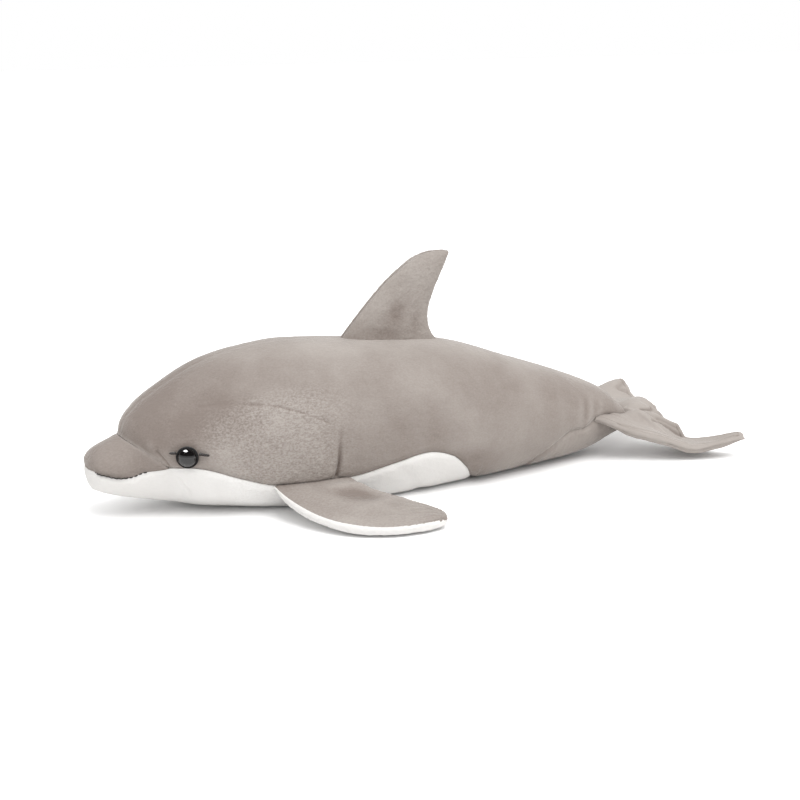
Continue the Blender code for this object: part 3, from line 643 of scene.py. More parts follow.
def region_tone_and_painted_light(section, turn):
    """Tone of the body's regions, partly painted shade and light and partly the pile's lie, and how rough
    the pile is on the cheeks.

    The turn is the angle from the top, at most pi.
    """
    degrees = np.degrees(turn)
    melon = (1 - step_up(section, 6.3, 7.9)) * step_up(section, CREASE, CREASE + 0.2)
    melon *= 1 - step_up(degrees, 52 + 6 * (section - 6), 80 + 4 * (section - 6))
    beak = 1 - step_up(section, CREASE - 0.3, CREASE + 0.1)
    cheek = step_up(section, 5.6, 6.6) * (1 - step_up(section, 7.9, 8.6)) * step_up(degrees, 44, 62)
    behind_fin = hump(section, 8.9, 0.6) * step_up(degrees, 60, 85)
    rear = hump(section, 11.2, 1.3) * hump(degrees, 55, 30)
    under_rear = hump(section, 9.6, 0.8) * step_up(degrees, 95, 112)
    back = hump(degrees, 8, 18) * step_up(section, 7.3, 8.8) * (1 - step_up(section, 12.0, 14.0))
    # Painted shade darkens the melon, beak, low flank behind the fins, rear and under the rear; painted
    # light brightens the cheeks and the top of the back.
    tone_and_painted_light = -0.50 * melon - 0.38 * beak + 0.33 * cheek - 0.24 * behind_fin - 0.13 * rear
    tone_and_painted_light += 0.35 * back - 0.6 * under_rear
    return tone_and_painted_light, 0.12 + 0.88 * cheek


def dart_relief(base, side):
    """Lift and painted shade of one side's darts: a deep one up the flank, a fine broken one on the head, a
    fold.

    Each is a seam's dip by the distance from its line, with a bell of painted shade along it.
    """
    flank = line_distance(base, dart_line(FLANK_DART, side))
    low = np.clip((FLANK_DART_TOP - base[..., 2]) / 0.02, 0, 1)
    lift = seam_dip(flank, 0.0010 + 0.0012 * low, 0.0011) * (0.3 + 0.7 * low)
    lift += seam_dip(flank, 0.0007 * low, 0.005)
    tone_and_painted_light = -0.9 * np.exp(-((flank / 0.0010) ** 2)) * low
    head = line_distance(base, dart_line(HEAD_DART, side))
    broken = 0.62 + 0.38 * np.clip(3 * noise(base, 0.007, 71), -1, 1)
    lift += seam_dip(head, 0.00035, 0.0009) * (0.3 + 0.7 * broken)
    tone_and_painted_light -= 0.55 * hump(head, 0, 0.0006) * broken
    fold = line_distance(base, dart_line(CHEEK_FOLD, side))
    lift += seam_dip(fold, 0.0007, 0.0009)
    tone_and_painted_light -= 0.45 * hump(fold, 0, 0.0006)
    return lift, tone_and_painted_light


def eye_relief(base, side):
    """Lift and painted shade of the hollow round an eye, lift and painted highlight of the tuft before it,
    and how free the filling is there.
    """
    from_eye = np.linalg.norm(base - skin(EYE_PLACE[0], math.radians(EYE_PLACE[1]) * -side), axis=-1)
    tuft = np.linalg.norm(base - skin(BROW_TUFT[0], math.radians(BROW_TUFT[1]) * -side), axis=-1)
    lift = seam_dip(from_eye, 0.0007, 0.0085) + 0.0008 * hump(tuft, 0, 0.0030)
    tone_and_painted_light = -0.35 * np.exp(-((from_eye / 0.0074) ** 6)) + 0.25 * hump(tuft, 0, 0.0022)
    return lift, tone_and_painted_light, 1 - np.exp(-((from_eye / 0.016) ** 4))


def wrinkles(section, degrees, base):
    """Lift of the wavy bands on the tail's side, with painted shade in their hollows and painted light on
    their crests, and lift of the hollows under chin, jaw and throat.
    """
    tail = hump(section, 12.32, 0.42) * hump(degrees, 78, 22)
    bands = tail * np.cos(2 * np.pi * (section - 12.17 + 0.10 * noise(base, 0.012, 73)) / 0.37)
    chin = hump(section, 1.9, 0.9) * step_up(degrees, 105, 145)
    jaw = hump(section, 4.25, 0.35) * step_up(degrees, 92, 104) * (1 - step_up(degrees, 128, 150))
    jaw = jaw * hump(section - 0.012 * (degrees - 110), 4.25, 0.09)
    throat = step_up(section, 7.6, 8.2) * (1 - step_up(section, 9.4, 10.0)) * step_up(degrees, 98, 106)
    throat = throat * hump(section - 0.01 * (degrees - 100), 8.95, 0.10)
    return -0.00035 * bands - 0.0011 * chin - 0.0012 * jaw - 0.0007 * throat, -0.24 * bands


def body_relief(section, angle, base, out, seams, seed):
    """Skin with the filling's push, seams, darts, eye hollows, wrinkles, lumps and nap.

    seams is a list of (distance from it, run along it, depth, height of its gathers).
    """
    settings = plush_settings()
    turn = np.minimum(angle % (2 * np.pi), -angle % (2 * np.pi))
    free = np.ones(section.shape)
    lift = np.zeros(section.shape)
    tone_and_painted_light, rough = region_tone_and_painted_light(section, turn)
    behind_nose = step_up(section, 0.0, 1.1)
    for distance, run, depth, gathers in seams:
        free *= 1 - np.exp(-((distance / SEAM_REACH) ** 2))
        turned_in = seam_dip(distance, depth, settings.seam_width)
        lift += behind_nose * (turned_in + puckers(distance, run, seed + 11, gathers))
    for side in (-1, 1):
        dart_lift, dart_painted_shade = dart_relief(base, side)
        eye_lift, eye_painted_shade_and_light, eye_free = eye_relief(base, side)
        free *= eye_free
        lift += dart_lift + eye_lift
        tone_and_painted_light += dart_painted_shade + eye_painted_shade_and_light
    wrinkle_lift, wrinkle_painted_shade = wrinkles(section, np.degrees(turn), base)
    lift += wrinkle_lift
    tone_and_painted_light += wrinkle_painted_shade
    lumps = noise(base, 0.034, seed + 21) + 0.5 * noise(base, 0.017, seed + 22)
    off_floor = np.clip(base[..., 2] / PRESSED_HEIGHT, 0, 1)
    lift += off_floor * np.minimum(free + 0.2, 1) * settings.lumps * lumps
    lift += off_floor * nap(base, 31) * (0.45 + 0.55 * rough)
    points = base + body_push(section, angle) * free[..., None] + out * lift[..., None]
    points[..., 2] = np.maximum(points[..., 2], OUTER_LOW)
    return points, {"tone_and_painted_light": tone_and_painted_light, "rough": rough}


def even_sections(first, last, count, angle):
    """Section numbers whose points on the skin at an angle lie evenly, by inverting the length run."""
    fine = np.linspace(first, last, 2000)
    run = steps_between(skin(fine, np.full_like(fine, angle)), 0)
    return np.interp(crowded(count, 0.35) * run[-1], run, fine)


def body_panel(name, sections, first, last, columns, end_depths, side_depths, seed, gathers=0.0002):
    """A panel of the body between two seam angles: grid in section and angle, dense at its edges.

    end_depths and side_depths give how deep the fabric turns in at its first and last row and column.
    """
    settings = plush_settings()
    share = crowded(columns)
    angle = first[:, None] * (1 - share) + last[:, None] * share
    section = np.repeat(sections[:, None], columns, axis=1)
    base, out = skin(section, angle), skin_normal(section, angle)
    across, along = steps_between(base, 1), steps_between(base, 0)
    slant = []
    for column in (0, -1):
        run = unit(np.gradient(base[:, column], axis=0))
        beside = unit(base[:, 1] - base[:, 0]) if column == 0 else unit(base[:, -1] - base[:, -2])
        slant.append(np.maximum(np.linalg.norm(np.cross(run, beside), axis=-1), 0.2)[:, None])
    seams = [
        (across * slant[0], along[:, :1] + 0 * across, side_depths[0], gathers),
        ((across[:, -1:] - across) * slant[1], along[:, -1:] + 0 * across, side_depths[1], gathers),
        (along, across, end_depths[0], gathers),
        (along[-1:] - along, across, end_depths[1], gathers),
    ]
    seams = [seam for seam in seams if seam[2] > 0]
    outer, marks = body_relief(section, angle, base, out, seams, seed)
    inner = base - out * (FABRIC + settings.seam_depth)
    inner[..., 2] = np.maximum(inner[..., 2], BODY_INNER_LOW)
    return fabric_body(name, outer, inner, marks)


def seam_clear(table, section, way, gap=0.00008):
    """Angle of a panel's edge along a seam, a hair before it (way -1) or past it (way 1)."""
    angle = seam_angle(table, section)
    return angle + turn_along(section, angle, way * gap)


def dressed(piece, slot, look, *nodes, fill=0.85):
    """Gives a padded piece its finish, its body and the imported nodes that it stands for."""
    piece.data.materials.append(look)
    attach(piece, "root")
    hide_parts(*nodes)
    return piece


def new_look(name):
    """A material with its shader and a function that adds and wires nodes."""
    look = bpy.data.materials.get(name)
    if look is not None:
        return look, None, None
    look = bpy.data.materials.new(name)
    look.use_nodes = True
    tree = look.node_tree
    shader = tree.nodes["Principled BSDF"]

    def add(kind, links=(), **values):
        """Adds a node, sets its values and wires its sockets."""
        node = tree.nodes.new(kind)
        for key, value in values.items():
            if key.startswith("in_"):
                node.inputs[key[3:].replace("_", " ")].default_value = value
            else:
                setattr(node, key, value)
        for source, socket in links:
            tree.links.new(source, node.inputs[socket])
        return node

    return look, shader, add


def map_range(add, source, to_min, to_max, from_min=0.0, from_max=1.0):
    """Adds a node that takes a value from one range to another, and gives its output."""
    node = add("ShaderNodeMapRange", [(source, "Value")])
    for socket, value in (
        ("From Min", from_min), ("From Max", from_max), ("To Min", to_min), ("To Max", to_max)
    ):
        node.inputs[socket].default_value = value
    return node.outputs["Result"]


def math_node(add, operation, first, second, **values):
    """Adds a node that joins two values by an operation, and gives its output."""
    links = [(first, 0), (second, 1)]
    return add("ShaderNodeMath", links, operation=operation, **values).outputs[0]


def noise_node(add, place, scale, detail=2.0, roughness=0.5):
    """Adds a noise pattern over a place, and gives its output."""
    links = [(place, "Vector")]
    node = add("ShaderNodeTexNoise", links, in_Scale=scale, in_Detail=detail, in_Roughness=roughness)
    return node.outputs["Fac"]


def two_tones(add, factor, low, high):
    """Adds a mix from one colour to another, and gives its output."""
    node = add("ShaderNodeMix", [(factor, "Factor")], data_type="RGBA")
    node.inputs["A"].default_value = (*low, 1.0)
    node.inputs["B"].default_value = (*high, 1.0)
    return node.outputs["Result"]


def scaled(colour, share):
    """The colour with each of its parts times a share."""
    return [share * part for part in colour]


def wire(look, shader, **outputs):
    """Joins outputs to the shader's sockets, whose names are given with _ for each space."""
    for socket, output in outputs.items():
        look.node_tree.links.new(output, shader.inputs[socket.replace("_", " ")])


def bumped(add, height, strength, distance):
    """Adds a bump from a height, and gives its normal."""
    node = add("ShaderNodeBump", [(height, "Height")], in_Strength=strength, in_Distance=distance)
    return node.outputs["Normal"]


def plush_look(name, high, low, sheen, patch_share=0.36, speckle_share=0.22):
    """Short pile: colour from brushed patches, fine speckle and the piece's tone mark, which holds painted
    shade and painted light, with sheen and bump.

    The speckle is strongest where the piece's rough mark is 1.
    """
    look, shader, add = new_look(name)
    if shader is None:
        return look
    place = add("ShaderNodeTexCoord").outputs["Object"]
    lying = add("ShaderNodeMapping", [(place, "Vector")])
    lying.inputs["Scale"].default_value = (0.62, 1.0, 1.0)
    lie = lying.outputs["Vector"]
    # The tone mark carries each piece's painted shade and painted light into the colour.
    tone_and_painted_light = add("ShaderNodeAttribute", attribute_name="tone_and_painted_light").outputs["Fac"]
    rough = add("ShaderNodeAttribute", attribute_name="rough").outputs["Fac"]
    patches = noise_node(add, place, 30.0, 3.0, 0.55)
    speckle = noise_node(add, lie, 1150.0, 2.0, 0.7)
    patch = map_range(add, patches, -patch_share / 2, patch_share / 2, 0.34, 0.66)
    dots = map_range(add, speckle, -speckle_share, speckle_share, 0.32, 0.68)
    amount = map_range(add, rough, 0.25, 2.0)
    both = math_node(add, "ADD", patch, math_node(add, "MULTIPLY", dots, amount))
    toned = math_node(add, "ADD", both, tone_and_painted_light)
    share = add("ShaderNodeMath", [(toned, 0)], operation="ADD", use_clamp=True)
    share.inputs[1].default_value = 0.5
    shader.inputs["Roughness"].default_value = 0.92
    shader.inputs["Specular IOR Level"].default_value = 0.15
    shader.inputs["Sheen Weight"].default_value = sheen
    shader.inputs["Sheen Roughness"].default_value = 0.30
    shader.inputs["Sheen Tint"].default_value = (1.0, 0.97, 0.94, 1.0)
    pile = noise_node(add, lie, 1350.0, 2.0, 0.6)
    colour = two_tones(add, share.outputs[0], low, high)
    wire(look, shader, Base_Color=colour, Normal=bumped(add, pile, 0.45, 0.0005))
    return look


def grey_look():
    """The grey plush."""
    settings = plush_settings()
    return plush_look("grey_plush_pile", settings.grey, settings.grey_low, 0.80)


def white_look():
    """The white plush."""
    settings = plush_settings()
    return plush_look("white_plush_pile", settings.white, settings.white_low, 0.15, 0.3, 0.15)


def thread_look():
    """Dark twisted thread: two tones of fibre in the object's own coordinates, and a fine bump."""
    look, shader, add = new_look("dark_thread_ply")
    if shader is None:
        return look
    place = add("ShaderNodeTexCoord").outputs["Object"]
    fibre = noise_node(add, place, 2600.0)
    colour = trim_settings().thread
    tones = two_tones(add, fibre, scaled(colour, 0.45), scaled(colour, 1.2))
    shader.inputs["Roughness"].default_value = 0.75
    wire(look, shader, Base_Color=tones, Normal=bumped(add, fibre, 0.4, 0.0001))
    return look


def eye_look():
    """Polished black plastic: near-black with a faint cloud, a gloss that varies with it, and a dull rim."""
    look, shader, add = new_look("black_plastic_polish")
    if shader is None:
        return look
    place = add("ShaderNodeTexCoord").outputs["Object"]
    cloud = noise_node(add, place, 420.0)
    colour = trim_settings().eye
    tones = two_tones(add, cloud, scaled(colour, 0.6), scaled(colour, 1.5))
    shine = map_range(add, cloud, 0.03, 0.07)
    rim = add("ShaderNodeAttribute", attribute_name="rim").outputs["Fac"]
    dull = add("ShaderNodeMix", [(rim, "Factor"), (shine, "A")])
    dull.inputs["B"].default_value = 0.95
    shader.inputs["IOR"].default_value = 1.60
    wire(look, shader, Base_Color=tones, Roughness=dull.outputs["Result"])
    return look


def washer_look():
    """Moulded pale plastic: two near tones in soft clouds, a dull gloss that varies with them, and grain."""
    look, shader, add = new_look("washer_plastic_moulded")
    if shader is None:
        return look
    place = add("ShaderNodeTexCoord").outputs["Object"]
    cloud = noise_node(add, place, 260.0, 3.0)
    colour = trim_settings().washer
    tones = two_tones(add, cloud, scaled(colour, 0.92), scaled(colour, 1.05))
    dull = map_range(add, cloud, 0.42, 0.58)
    grain = noise_node(add, place, 2400.0)
    wire(look, shader, Base_Color=tones, Roughness=dull, Normal=bumped(add, grain, 0.2, 0.0001))
    return look


class PLUSH_OT_sides(bpy.types.Operator):
    """Adds the two grey side panels and the grey top of the beak"""

    bl_idname = "plush_dolphin.sides"
    bl_label = "Add the grey body panels"

    def execute(self, context):
        deep = plush_settings().seam_depth
        sections = even_sections(CREASE + 0.001, TAIL_STOP, 560, np.pi / 3)
        behind = sections > (BELLY_STOP + TAIL_PANEL_START) / 2
        seam = np.where(behind, seam_clear(TAIL_SEAM, sections, -1), seam_clear(BELLY_SEAM, sections, -1))
        top = 0 * sections
        for side, name in ((-1, "left"), (1, "right")):
            piece = body_panel(
                f"{name}_side_plush", sections, -side * top, -side * seam, 165,
                (0.0003, 0.0006), (0.00015, deep), 5, 0.00005,
            )
            nodes = [f"{name}_side_panel"] + (["body_stuffing"] if side < 0 else [])
            dressed(piece, "grey_plush", grey_look(), *nodes)
        sections = even_sections(NOSE_START, CREASE - 0.001, 150, np.pi / 3)
        seam = seam_clear(BELLY_SEAM, sections, -1)
        piece = body_panel(
            "rostrum_plush", sections, seam, -seam, 190,
            (0.0002, 0.0003), (0.6 * deep, 0.6 * deep), 7, 0.00008,
        )
        dressed(piece, "grey_plush", grey_look(), "rostrum_panel")
        return {"FINISHED"}


class PLUSH_OT_underside(bpy.types.Operator):
    """Adds the white belly panel and the grey panel under the tail"""

    bl_idname = "plush_dolphin.underside"
    bl_label = "Add the panels below"

    def execute(self, context):
        deep = plush_settings().seam_depth
        sections = even_sections(NOSE_START, BELLY_STOP, 330, np.pi / 2)
        seam = seam_clear(BELLY_SEAM, sections, 1)
        piece = body_panel(
            "belly_plush", sections, seam, 2 * np.pi - seam, 130,
            (0.0002, deep), (0.6 * deep, 0.6 * deep), 9, 0.00006,
        )
        dressed(piece, "white_plush", white_look(), "belly_panel")
        sections = even_sections(TAIL_PANEL_START, TAIL_STOP, 170, np.pi)
        seam = seam_clear(TAIL_SEAM, sections, 1)
        piece = body_panel(
            "tail_underside_plush", sections, seam, 2 * np.pi - seam, 110,
            (deep, 0.0006), (deep, deep), 13,
        )
        dressed(piece, "light_grey_plush", grey_look(), "tail_underside_panel")
        return {"FINISHED"}


class Fin:
    """A two-layer fin round a middle surface M(s, t), s from root to tip, t from leading to trailing edge.

    The turn goes round it: 0 at the leading edge, pi at the trailing edge over the upper layer, and back
    below zero over the lower one, with t = (1 - cos(turn)) / 2. half and edge are its half thickness and
    the part of it kept beside the seam. root gives the line that its root follows, across is -1 for a
    mirrored fin, a higher blunt keeps the thickness nearer to the tip, and thin is how much the upper
    layer thins.
    """

    def __init__(self, middle, half, edge, root=None, across=1, blunt=4, thin=0.0):
        self.middle = middle
        self.thin = thin
        self.half = half
        self.edge = edge
        self.root = root
        self.blunt = blunt
        self.mirror = np.array([1, across, 1])
        self.moves = None

    def height(self, s, turn, wall=0.0):
        """Height over the middle: edge clip(4f) + (half - edge) f, less the wall.

        f is sin(turn) sqrt(1 - s^blunt). Towards the trailing edge the upper layer is lower by the share
        thin, as the square of the way across.
        """
        full = np.sin(turn) * np.sqrt(np.maximum(1 - s**self.blunt, 0))
        full = full * np.where(turn > 0, 1 - self.thin * ((1 - np.cos(turn)) / 2) ** 2, 1)
        height = self.edge * np.clip(4 * full, -1, 1) + (self.half - self.edge) * full
        least = FIN_EDGE - wall / FABRIC * (FIN_EDGE - FIN_LINING)
        return np.where(turn > 0, 1, -1) * np.maximum(np.abs(height) - wall, least)

    def normal(self, s, t):
        """Cross product of small steps outwards and along the middle surface."""
        s0, s1 = np.maximum(s - STEP, 0), np.minimum(s + STEP, 1)
        t0, t1 = np.maximum(t - STEP, 0), np.minimum(t + STEP, 1)
        outward = self.middle(s1, t) - self.middle(s0, t)
        return unit(np.cross(outward, self.middle(s, t1) - self.middle(s, t0)))

    def point(self, s, turn, wall=0.0):
        """Point at a turn's height over the middle. Near the root it follows the body that it is sewn to."""
        t = (1 - np.cos(turn)) / 2
        height = self.height(s, turn, wall)
        free = self.middle(s, t) + self.normal(s, t) * height[..., None]
        if self.root is not None:
            start = self.middle(0 * s, t) + self.normal(0 * s, t) * height[..., None]
            share = np.clip(1 - s / ROOT_BLEND, 0, 1)[..., None] ** 2
            free = free + share * (self.root(t, height) - start)
        return free

    def fill(self, name, seam):
        """Works out how the filling pushes the fin out between its seams, on a coarse tube of rings."""
        settings = plush_settings()
        s = np.linspace(FIN_RING_MARGIN, 1 - FIN_RING_MARGIN, FIN_RING_ROWS)[:, None]
        turn = (np.arange(FIN_RING_COLUMNS) * 2 * np.pi / FIN_RING_COLUMNS - np.pi)[None, :]
        s, turn = np.broadcast_arrays(s, turn)
        near = SEAM_HOLD * 2 * np.pi / FIN_RING_COLUMNS
        held = (np.abs(turn - seam) < near) | (np.abs(turn) > np.pi - near)
        held |= (s < FIN_ENDS_HELD[0]) | (s > FIN_ENDS_HELD[1])
        rings = self.point(s, turn)
        held |= rings[..., 2] < FIN_FLOOR_HOLD
        self.moves = filled_moves(name, rings, held, settings.pressure, FIN_PUFF_SHARE * settings.puff)

    def push(self, s, turn):
        """The filling's push at any place, read from the coarse rings."""
        if self.moves is None:
            return 0.0
        rows, columns = self.moves.shape[:2]
        row = np.clip((s - FIN_RING_MARGIN) / (1 - 2 * FIN_RING_MARGIN) * (rows - 1), 0, rows - 1)
        return bicubic(self.moves, row, ((turn + np.pi) / (2 * np.pi) * columns) % columns)

    def layer(self, name, first, last, rows, columns, relief, seed, pile=1.0, s_stop=0.995):
        """One fabric layer from one turn to another, with its relief added along its own normals."""
        s = np.sin(np.linspace(0, np.pi / 2, rows)) * s_stop
        s, turn = np.meshgrid(s, first + (last - first) * np.linspace(0, 1, columns), indexing="ij")
        base = self.point(s, turn) + self.push(s, turn)
        out = unit(np.cross(np.gradient(base, axis=0), np.gradient(base, axis=1)))
        lift, near, marks = relief(s, turn, base)
        lift = lift + pile * nap(base, seed) * (1 - 0.85 * hump(near, 0, 0.0014))
        outer = (base + out * lift[..., None]) * self.mirror
        inner = self.point(s, turn, FABRIC) * self.mirror
        outer[..., 2] = np.maximum(outer[..., 2], OUTER_LOW)
        inner[..., 2] = np.maximum(inner[..., 2], FIN_INNER_LOW)
        return fabric_body(name, outer, inner, marks)


def edge_relief(base, depth=0.0005, width=0.0013, seed=41, gathers=0.00015):
    """Roll of the two layers into the seam round a fin's edge, with gathers, and the distances from it."""
    across, along = steps_between(base, 1), steps_between(base, 0)
    near = np.minimum(np.minimum(across, across[:, -1:] - across), along[-1:] - along)
    gathered = puckers(near, base[..., 0] - base[..., 1], seed, gathers, 0.004, 0.0038)
    return seam_dip(near, depth, width) + gathered, near


def dorsal_shape():
    """The dorsal fin's middle surface: straight lines between its two edge curves, in the plane y = 0."""
    front = nose_x() + DORSAL_FRONT
    rear = front + DORSAL_CHORD
    sections = np.linspace(CREASE, TAIL_END, 400)
    line = skin(sections, np.zeros_like(sections))

    def back_height(x):
        """Height of the back's middle line, less how deep the fin's root is sunk."""
        return np.interp(x, line[:, 0], line[:, 2]) - ROOT_SINK

    tip = np.array([rear + DORSAL_RAKE, 0, back_height(rear) + DORSAL_RISE])
    start = np.array([front, 0, back_height(front)])
    end = np.array([rear, 0, back_height(rear)])
    rise = tip[2] - start[2]

    def edge(root, handles):
        """Control points of an edge curve from its root to the tip."""
        steps = [np.array([chord * DORSAL_CHORD, 0, up * rise]) for chord, up in handles]
        return (root, root + steps[0], tip + steps[1], tip)

    leading, trailing = edge(start, DORSAL_LEADING_HANDLES), edge(end, DORSAL_TRAILING_HANDLES)

    def middle(s, t):
        """A share t of the way from edge to edge, and at the root down to the back."""
        flat = bezier(leading, s) * (1 - t)[..., None] + bezier(trailing, s) * t[..., None]
        root_z = back_height(front + (rear - front) * t)
        straight = start[2] + (end[2] - start[2]) * t
        flat[..., 2] += (root_z - straight) * np.clip(1 - s / ROOT_BLEND, 0, 1) ** 2
        return flat

    return middle


class PLUSH_OT_dorsal_fin(bpy.types.Operator):
    """Adds the upright fin on the back"""

    bl_idname = "plush_dolphin.dorsal_fin"
    bl_label = "Add the dorsal fin"

    def execute(self, context):
        fin = Fin(dorsal_shape(), DORSAL_HALF_THICKNESS, DORSAL_EDGE)
        fin.fill("filled_dorsal", 0.0)

        def relief(s, turn, base):
            """Seam, dimples where the filling is thin and lumps, with painted shade in the dimples and along
            the root.
            """
            t = (1 - np.cos(turn)) / 2
            lift, near = edge_relief(base)
            dimples = np.exp(-(((s - 0.22) / 0.10) ** 2 + ((t - 0.42) / 0.13) ** 2))
            dimples += 0.6 * np.exp(-(((s - 0.16) / 0.12) ** 2 + ((t - 0.74) / 0.07) ** 2))
            dimples += 0.6 * np.exp(-(((s - 0.05) / 0.05) ** 2 + ((t - 0.35) / 0.25) ** 2))
            lift += -0.0009 * dimples + 0.0004 * noise(base, 0.012, 43)
            tone_and_painted_light = 0.20 - 0.6 * dimples - 0.25 * np.exp(-s / 0.04)
            return lift, near, {"tone_and_painted_light": tone_and_painted_light, "rough": 0.25 + 0 * s}

        left = fin.layer("dorsal_fin_left_plush", -np.pi, 0.0, 120, 110, relief, 45)
        dressed(left, "grey_plush", grey_look(), "dorsal_fin_left_panel", "dorsal_fin_stuffing")
        right = fin.layer("dorsal_fin_right_plush", 0.0, np.pi, 120, 110, relief, 46)
        dressed(right, "grey_plush", grey_look(), "dorsal_fin_right_panel")
        return {"FINISHED"}


def pectoral_shape():
    """The left pectoral fin's middle surface between two edge curves, and its root in the belly seam."""
    first, last = PECTORAL_ROOT_SECTIONS

    def root(t, height):
        """The belly seam's line between the root's sections, moved round by the height."""
        section = first + (last - first) * t
        angle = seam_angle(BELLY_SEAM, section)
        height = np.where(height > 0, PECTORAL_ROOT_RISE_SHARE, 1.0) * height
        angle = angle - turn_along(section, angle, height)
        return skin(section, angle) - skin_normal(section, angle) * ROOT_SINK

    start = root(np.array(0.0), np.array(0.0))
    end = root(np.array(1.0), np.array(0.0))
    tip_y = end[1] - PECTORAL_TIP_REACH_SHARE * PECTORAL_REACH
    tip = np.array([end[0] + PECTORAL_SWEEP, tip_y, PECTORAL_TIP_HEIGHT])
    low_start = np.array([start[0], start[1], PECTORAL_TIP_HEIGHT])
    fore, fore_far = np.array(PECTORAL_LEADING_HANDLES) * PECTORAL_REACH
    aft, aft_far = np.array(PECTORAL_TRAILING_HANDLES) * PECTORAL_REACH
    leading = (start, low_start + fore, low_start + fore_far, tip)
    trailing = (end, end + aft, tip + aft_far, tip)

    def middle(s, t):
        """A share t of the way from the leading edge to the trailing one."""
        return bezier(leading, s) * (1 - t)[..., None] + bezier(trailing, s) * t[..., None]

    return middle, root


class PLUSH_OT_pectoral_fins(bpy.types.Operator):
    """Adds both pectoral fins, grey above and white below"""

    bl_idname = "plush_dolphin.pectoral_fins"
    bl_label = "Add the pectoral fins"

    def execute(self, context):
        middle, root = pectoral_shape()
        seam = PECTORAL_SEAM_TURN

        def relief(s, turn, base):
            """Seam, the dimple between two ridges and lumps, with painted shade in the dimple and along the
            root, painted light on the ridges, a darker tip and tone that differs at random.
            """
            t = (1 - np.cos(turn)) / 2
            upper = turn > seam
            lift, near = edge_relief(base, 0.00035, 0.0010)
            dimple = hump(s, 0.285, 0.11) * hump(t, 0.66, 0.18)
            ridge = hump(s, 0.14, 0.045) * hump(t, 0.75, 0.30)
            ridge += 0.5 * hump(s, 0.45, 0.05) * hump(t, 0.62, 0.25)
            lift += upper * (0.0010 * ridge - 0.0020 * dimple) + 0.0004 * noise(base, 0.013, 53)
            tone_and_painted_light = 0.16 - 1.1 * dimple + 0.30 * ridge
            tone_and_painted_light += -0.12 * step_up(s, 0.6, 0.9) - 0.6 * np.exp(-s / 0.02)
            tone_and_painted_light = upper * (tone_and_painted_light + 0.15 * noise(base, 0.010, 57))
            return lift, near, {"tone_and_painted_light": tone_and_painted_light, "rough": 0.35 * upper + 0 * s}

        for across, name in ((1, "left"), (-1, "right")):
            fin = Fin(
                middle, PECTORAL_HALF_THICKNESS, PECTORAL_EDGE, root, across, thin=PECTORAL_THINNING
            )
            fin.fill(f"filled_{name}_pectoral", seam)
            above = fin.layer(
                f"{name}_pectoral_upper_plush", seam + PECTORAL_SEAM_GAP, np.pi, 120, 120, relief, 55
            )
            nodes = (f"{name}_pectoral_upper_panel", f"{name}_pectoral_stuffing")
            dressed(above, "grey_plush", grey_look(), *nodes)
            below = fin.layer(
                f"{name}_pectoral_lower_plush", -np.pi, seam - PECTORAL_SEAM_GAP, 120, 120, relief, 55
            )
            dressed(below, "white_plush", white_look(), f"{name}_pectoral_lower_panel")
        return {"FINISHED"}


def fluke_shape():
    """The flukes' middle surface and root line.

    In plan it is parabolas from the seam round the tail to the far edge. Its heights come from the table of
    folds.
    """
    tail_x = nose_x() + BODY_LENGTH
    heights = np.array(FLUKE_HEIGHTS).T / 1000

    def root(t, height):
        """The line round the tail's end along its seam, moved round by the height."""
        across = 2 * t - 1
        section = TAIL_END - (TAIL_END - FLUKE_ROOT_SECTION) * np.abs(across) ** FLUKE_ROOT_SPACING
        section = np.minimum(section, TAIL_STOP)
        angle = seam_angle(TAIL_SEAM, section)
        angle = (angle - turn_along(section, angle, height)) * np.where(across < 0, 1, -1)
        return skin(section, angle) - skin_normal(section, angle) * ROOT_SINK

    stops = np.linspace(0, 1, 2001)
    root_line = root(stops, 0 * stops)

    def middle(s, t):
        """Parabolas in plan, at the heights that curves through the folds' table give."""
        s, t = np.broadcast_arrays(s, t)
        across = 2 * t - 1
        left, right = np.maximum(-across, 0), np.maximum(across, 0)
        start_x, start_y, start_z = (np.interp(t, stops, root_line[:, axis]) for axis in range(3))
        reach = FLUKE_NOTCH_REACH * (1 - left - right) + FLUKE_REACH * left + RIGHT_TIP_REACH * right
        end_x = tail_x + reach
        bend_x = start_x * (1 - FLUKE_MID_REACH_SHARE) + end_x * FLUKE_MID_REACH_SHARE
        bend_y = across * FLUKE_HALF_SPAN * FLUKE_MID_SPAN_SHARE
        x = start_x * (1 - s) ** 2 + 2 * bend_x * s * (1 - s) + end_x * s**2
        y = start_y * (1 - s) ** 2 + 2 * bend_y * s * (1 - s) + FLUKE_HALF_SPAN * across * s**2
        x = x + (LEFT_TIP_WIDENING * hump(t, 0.065, 0.035) - LEFT_TIP_CUT * hump(t, 0, 0.025)) * s**4
        place = np.interp(t, FLUKE_STOPS, np.arange(len(FLUKE_STOPS)))
        z = through(np.concatenate([start_z[..., None], spline(heights, place)], -1), s)
        return np.stack([x, y, z], -1)

    return middle, root


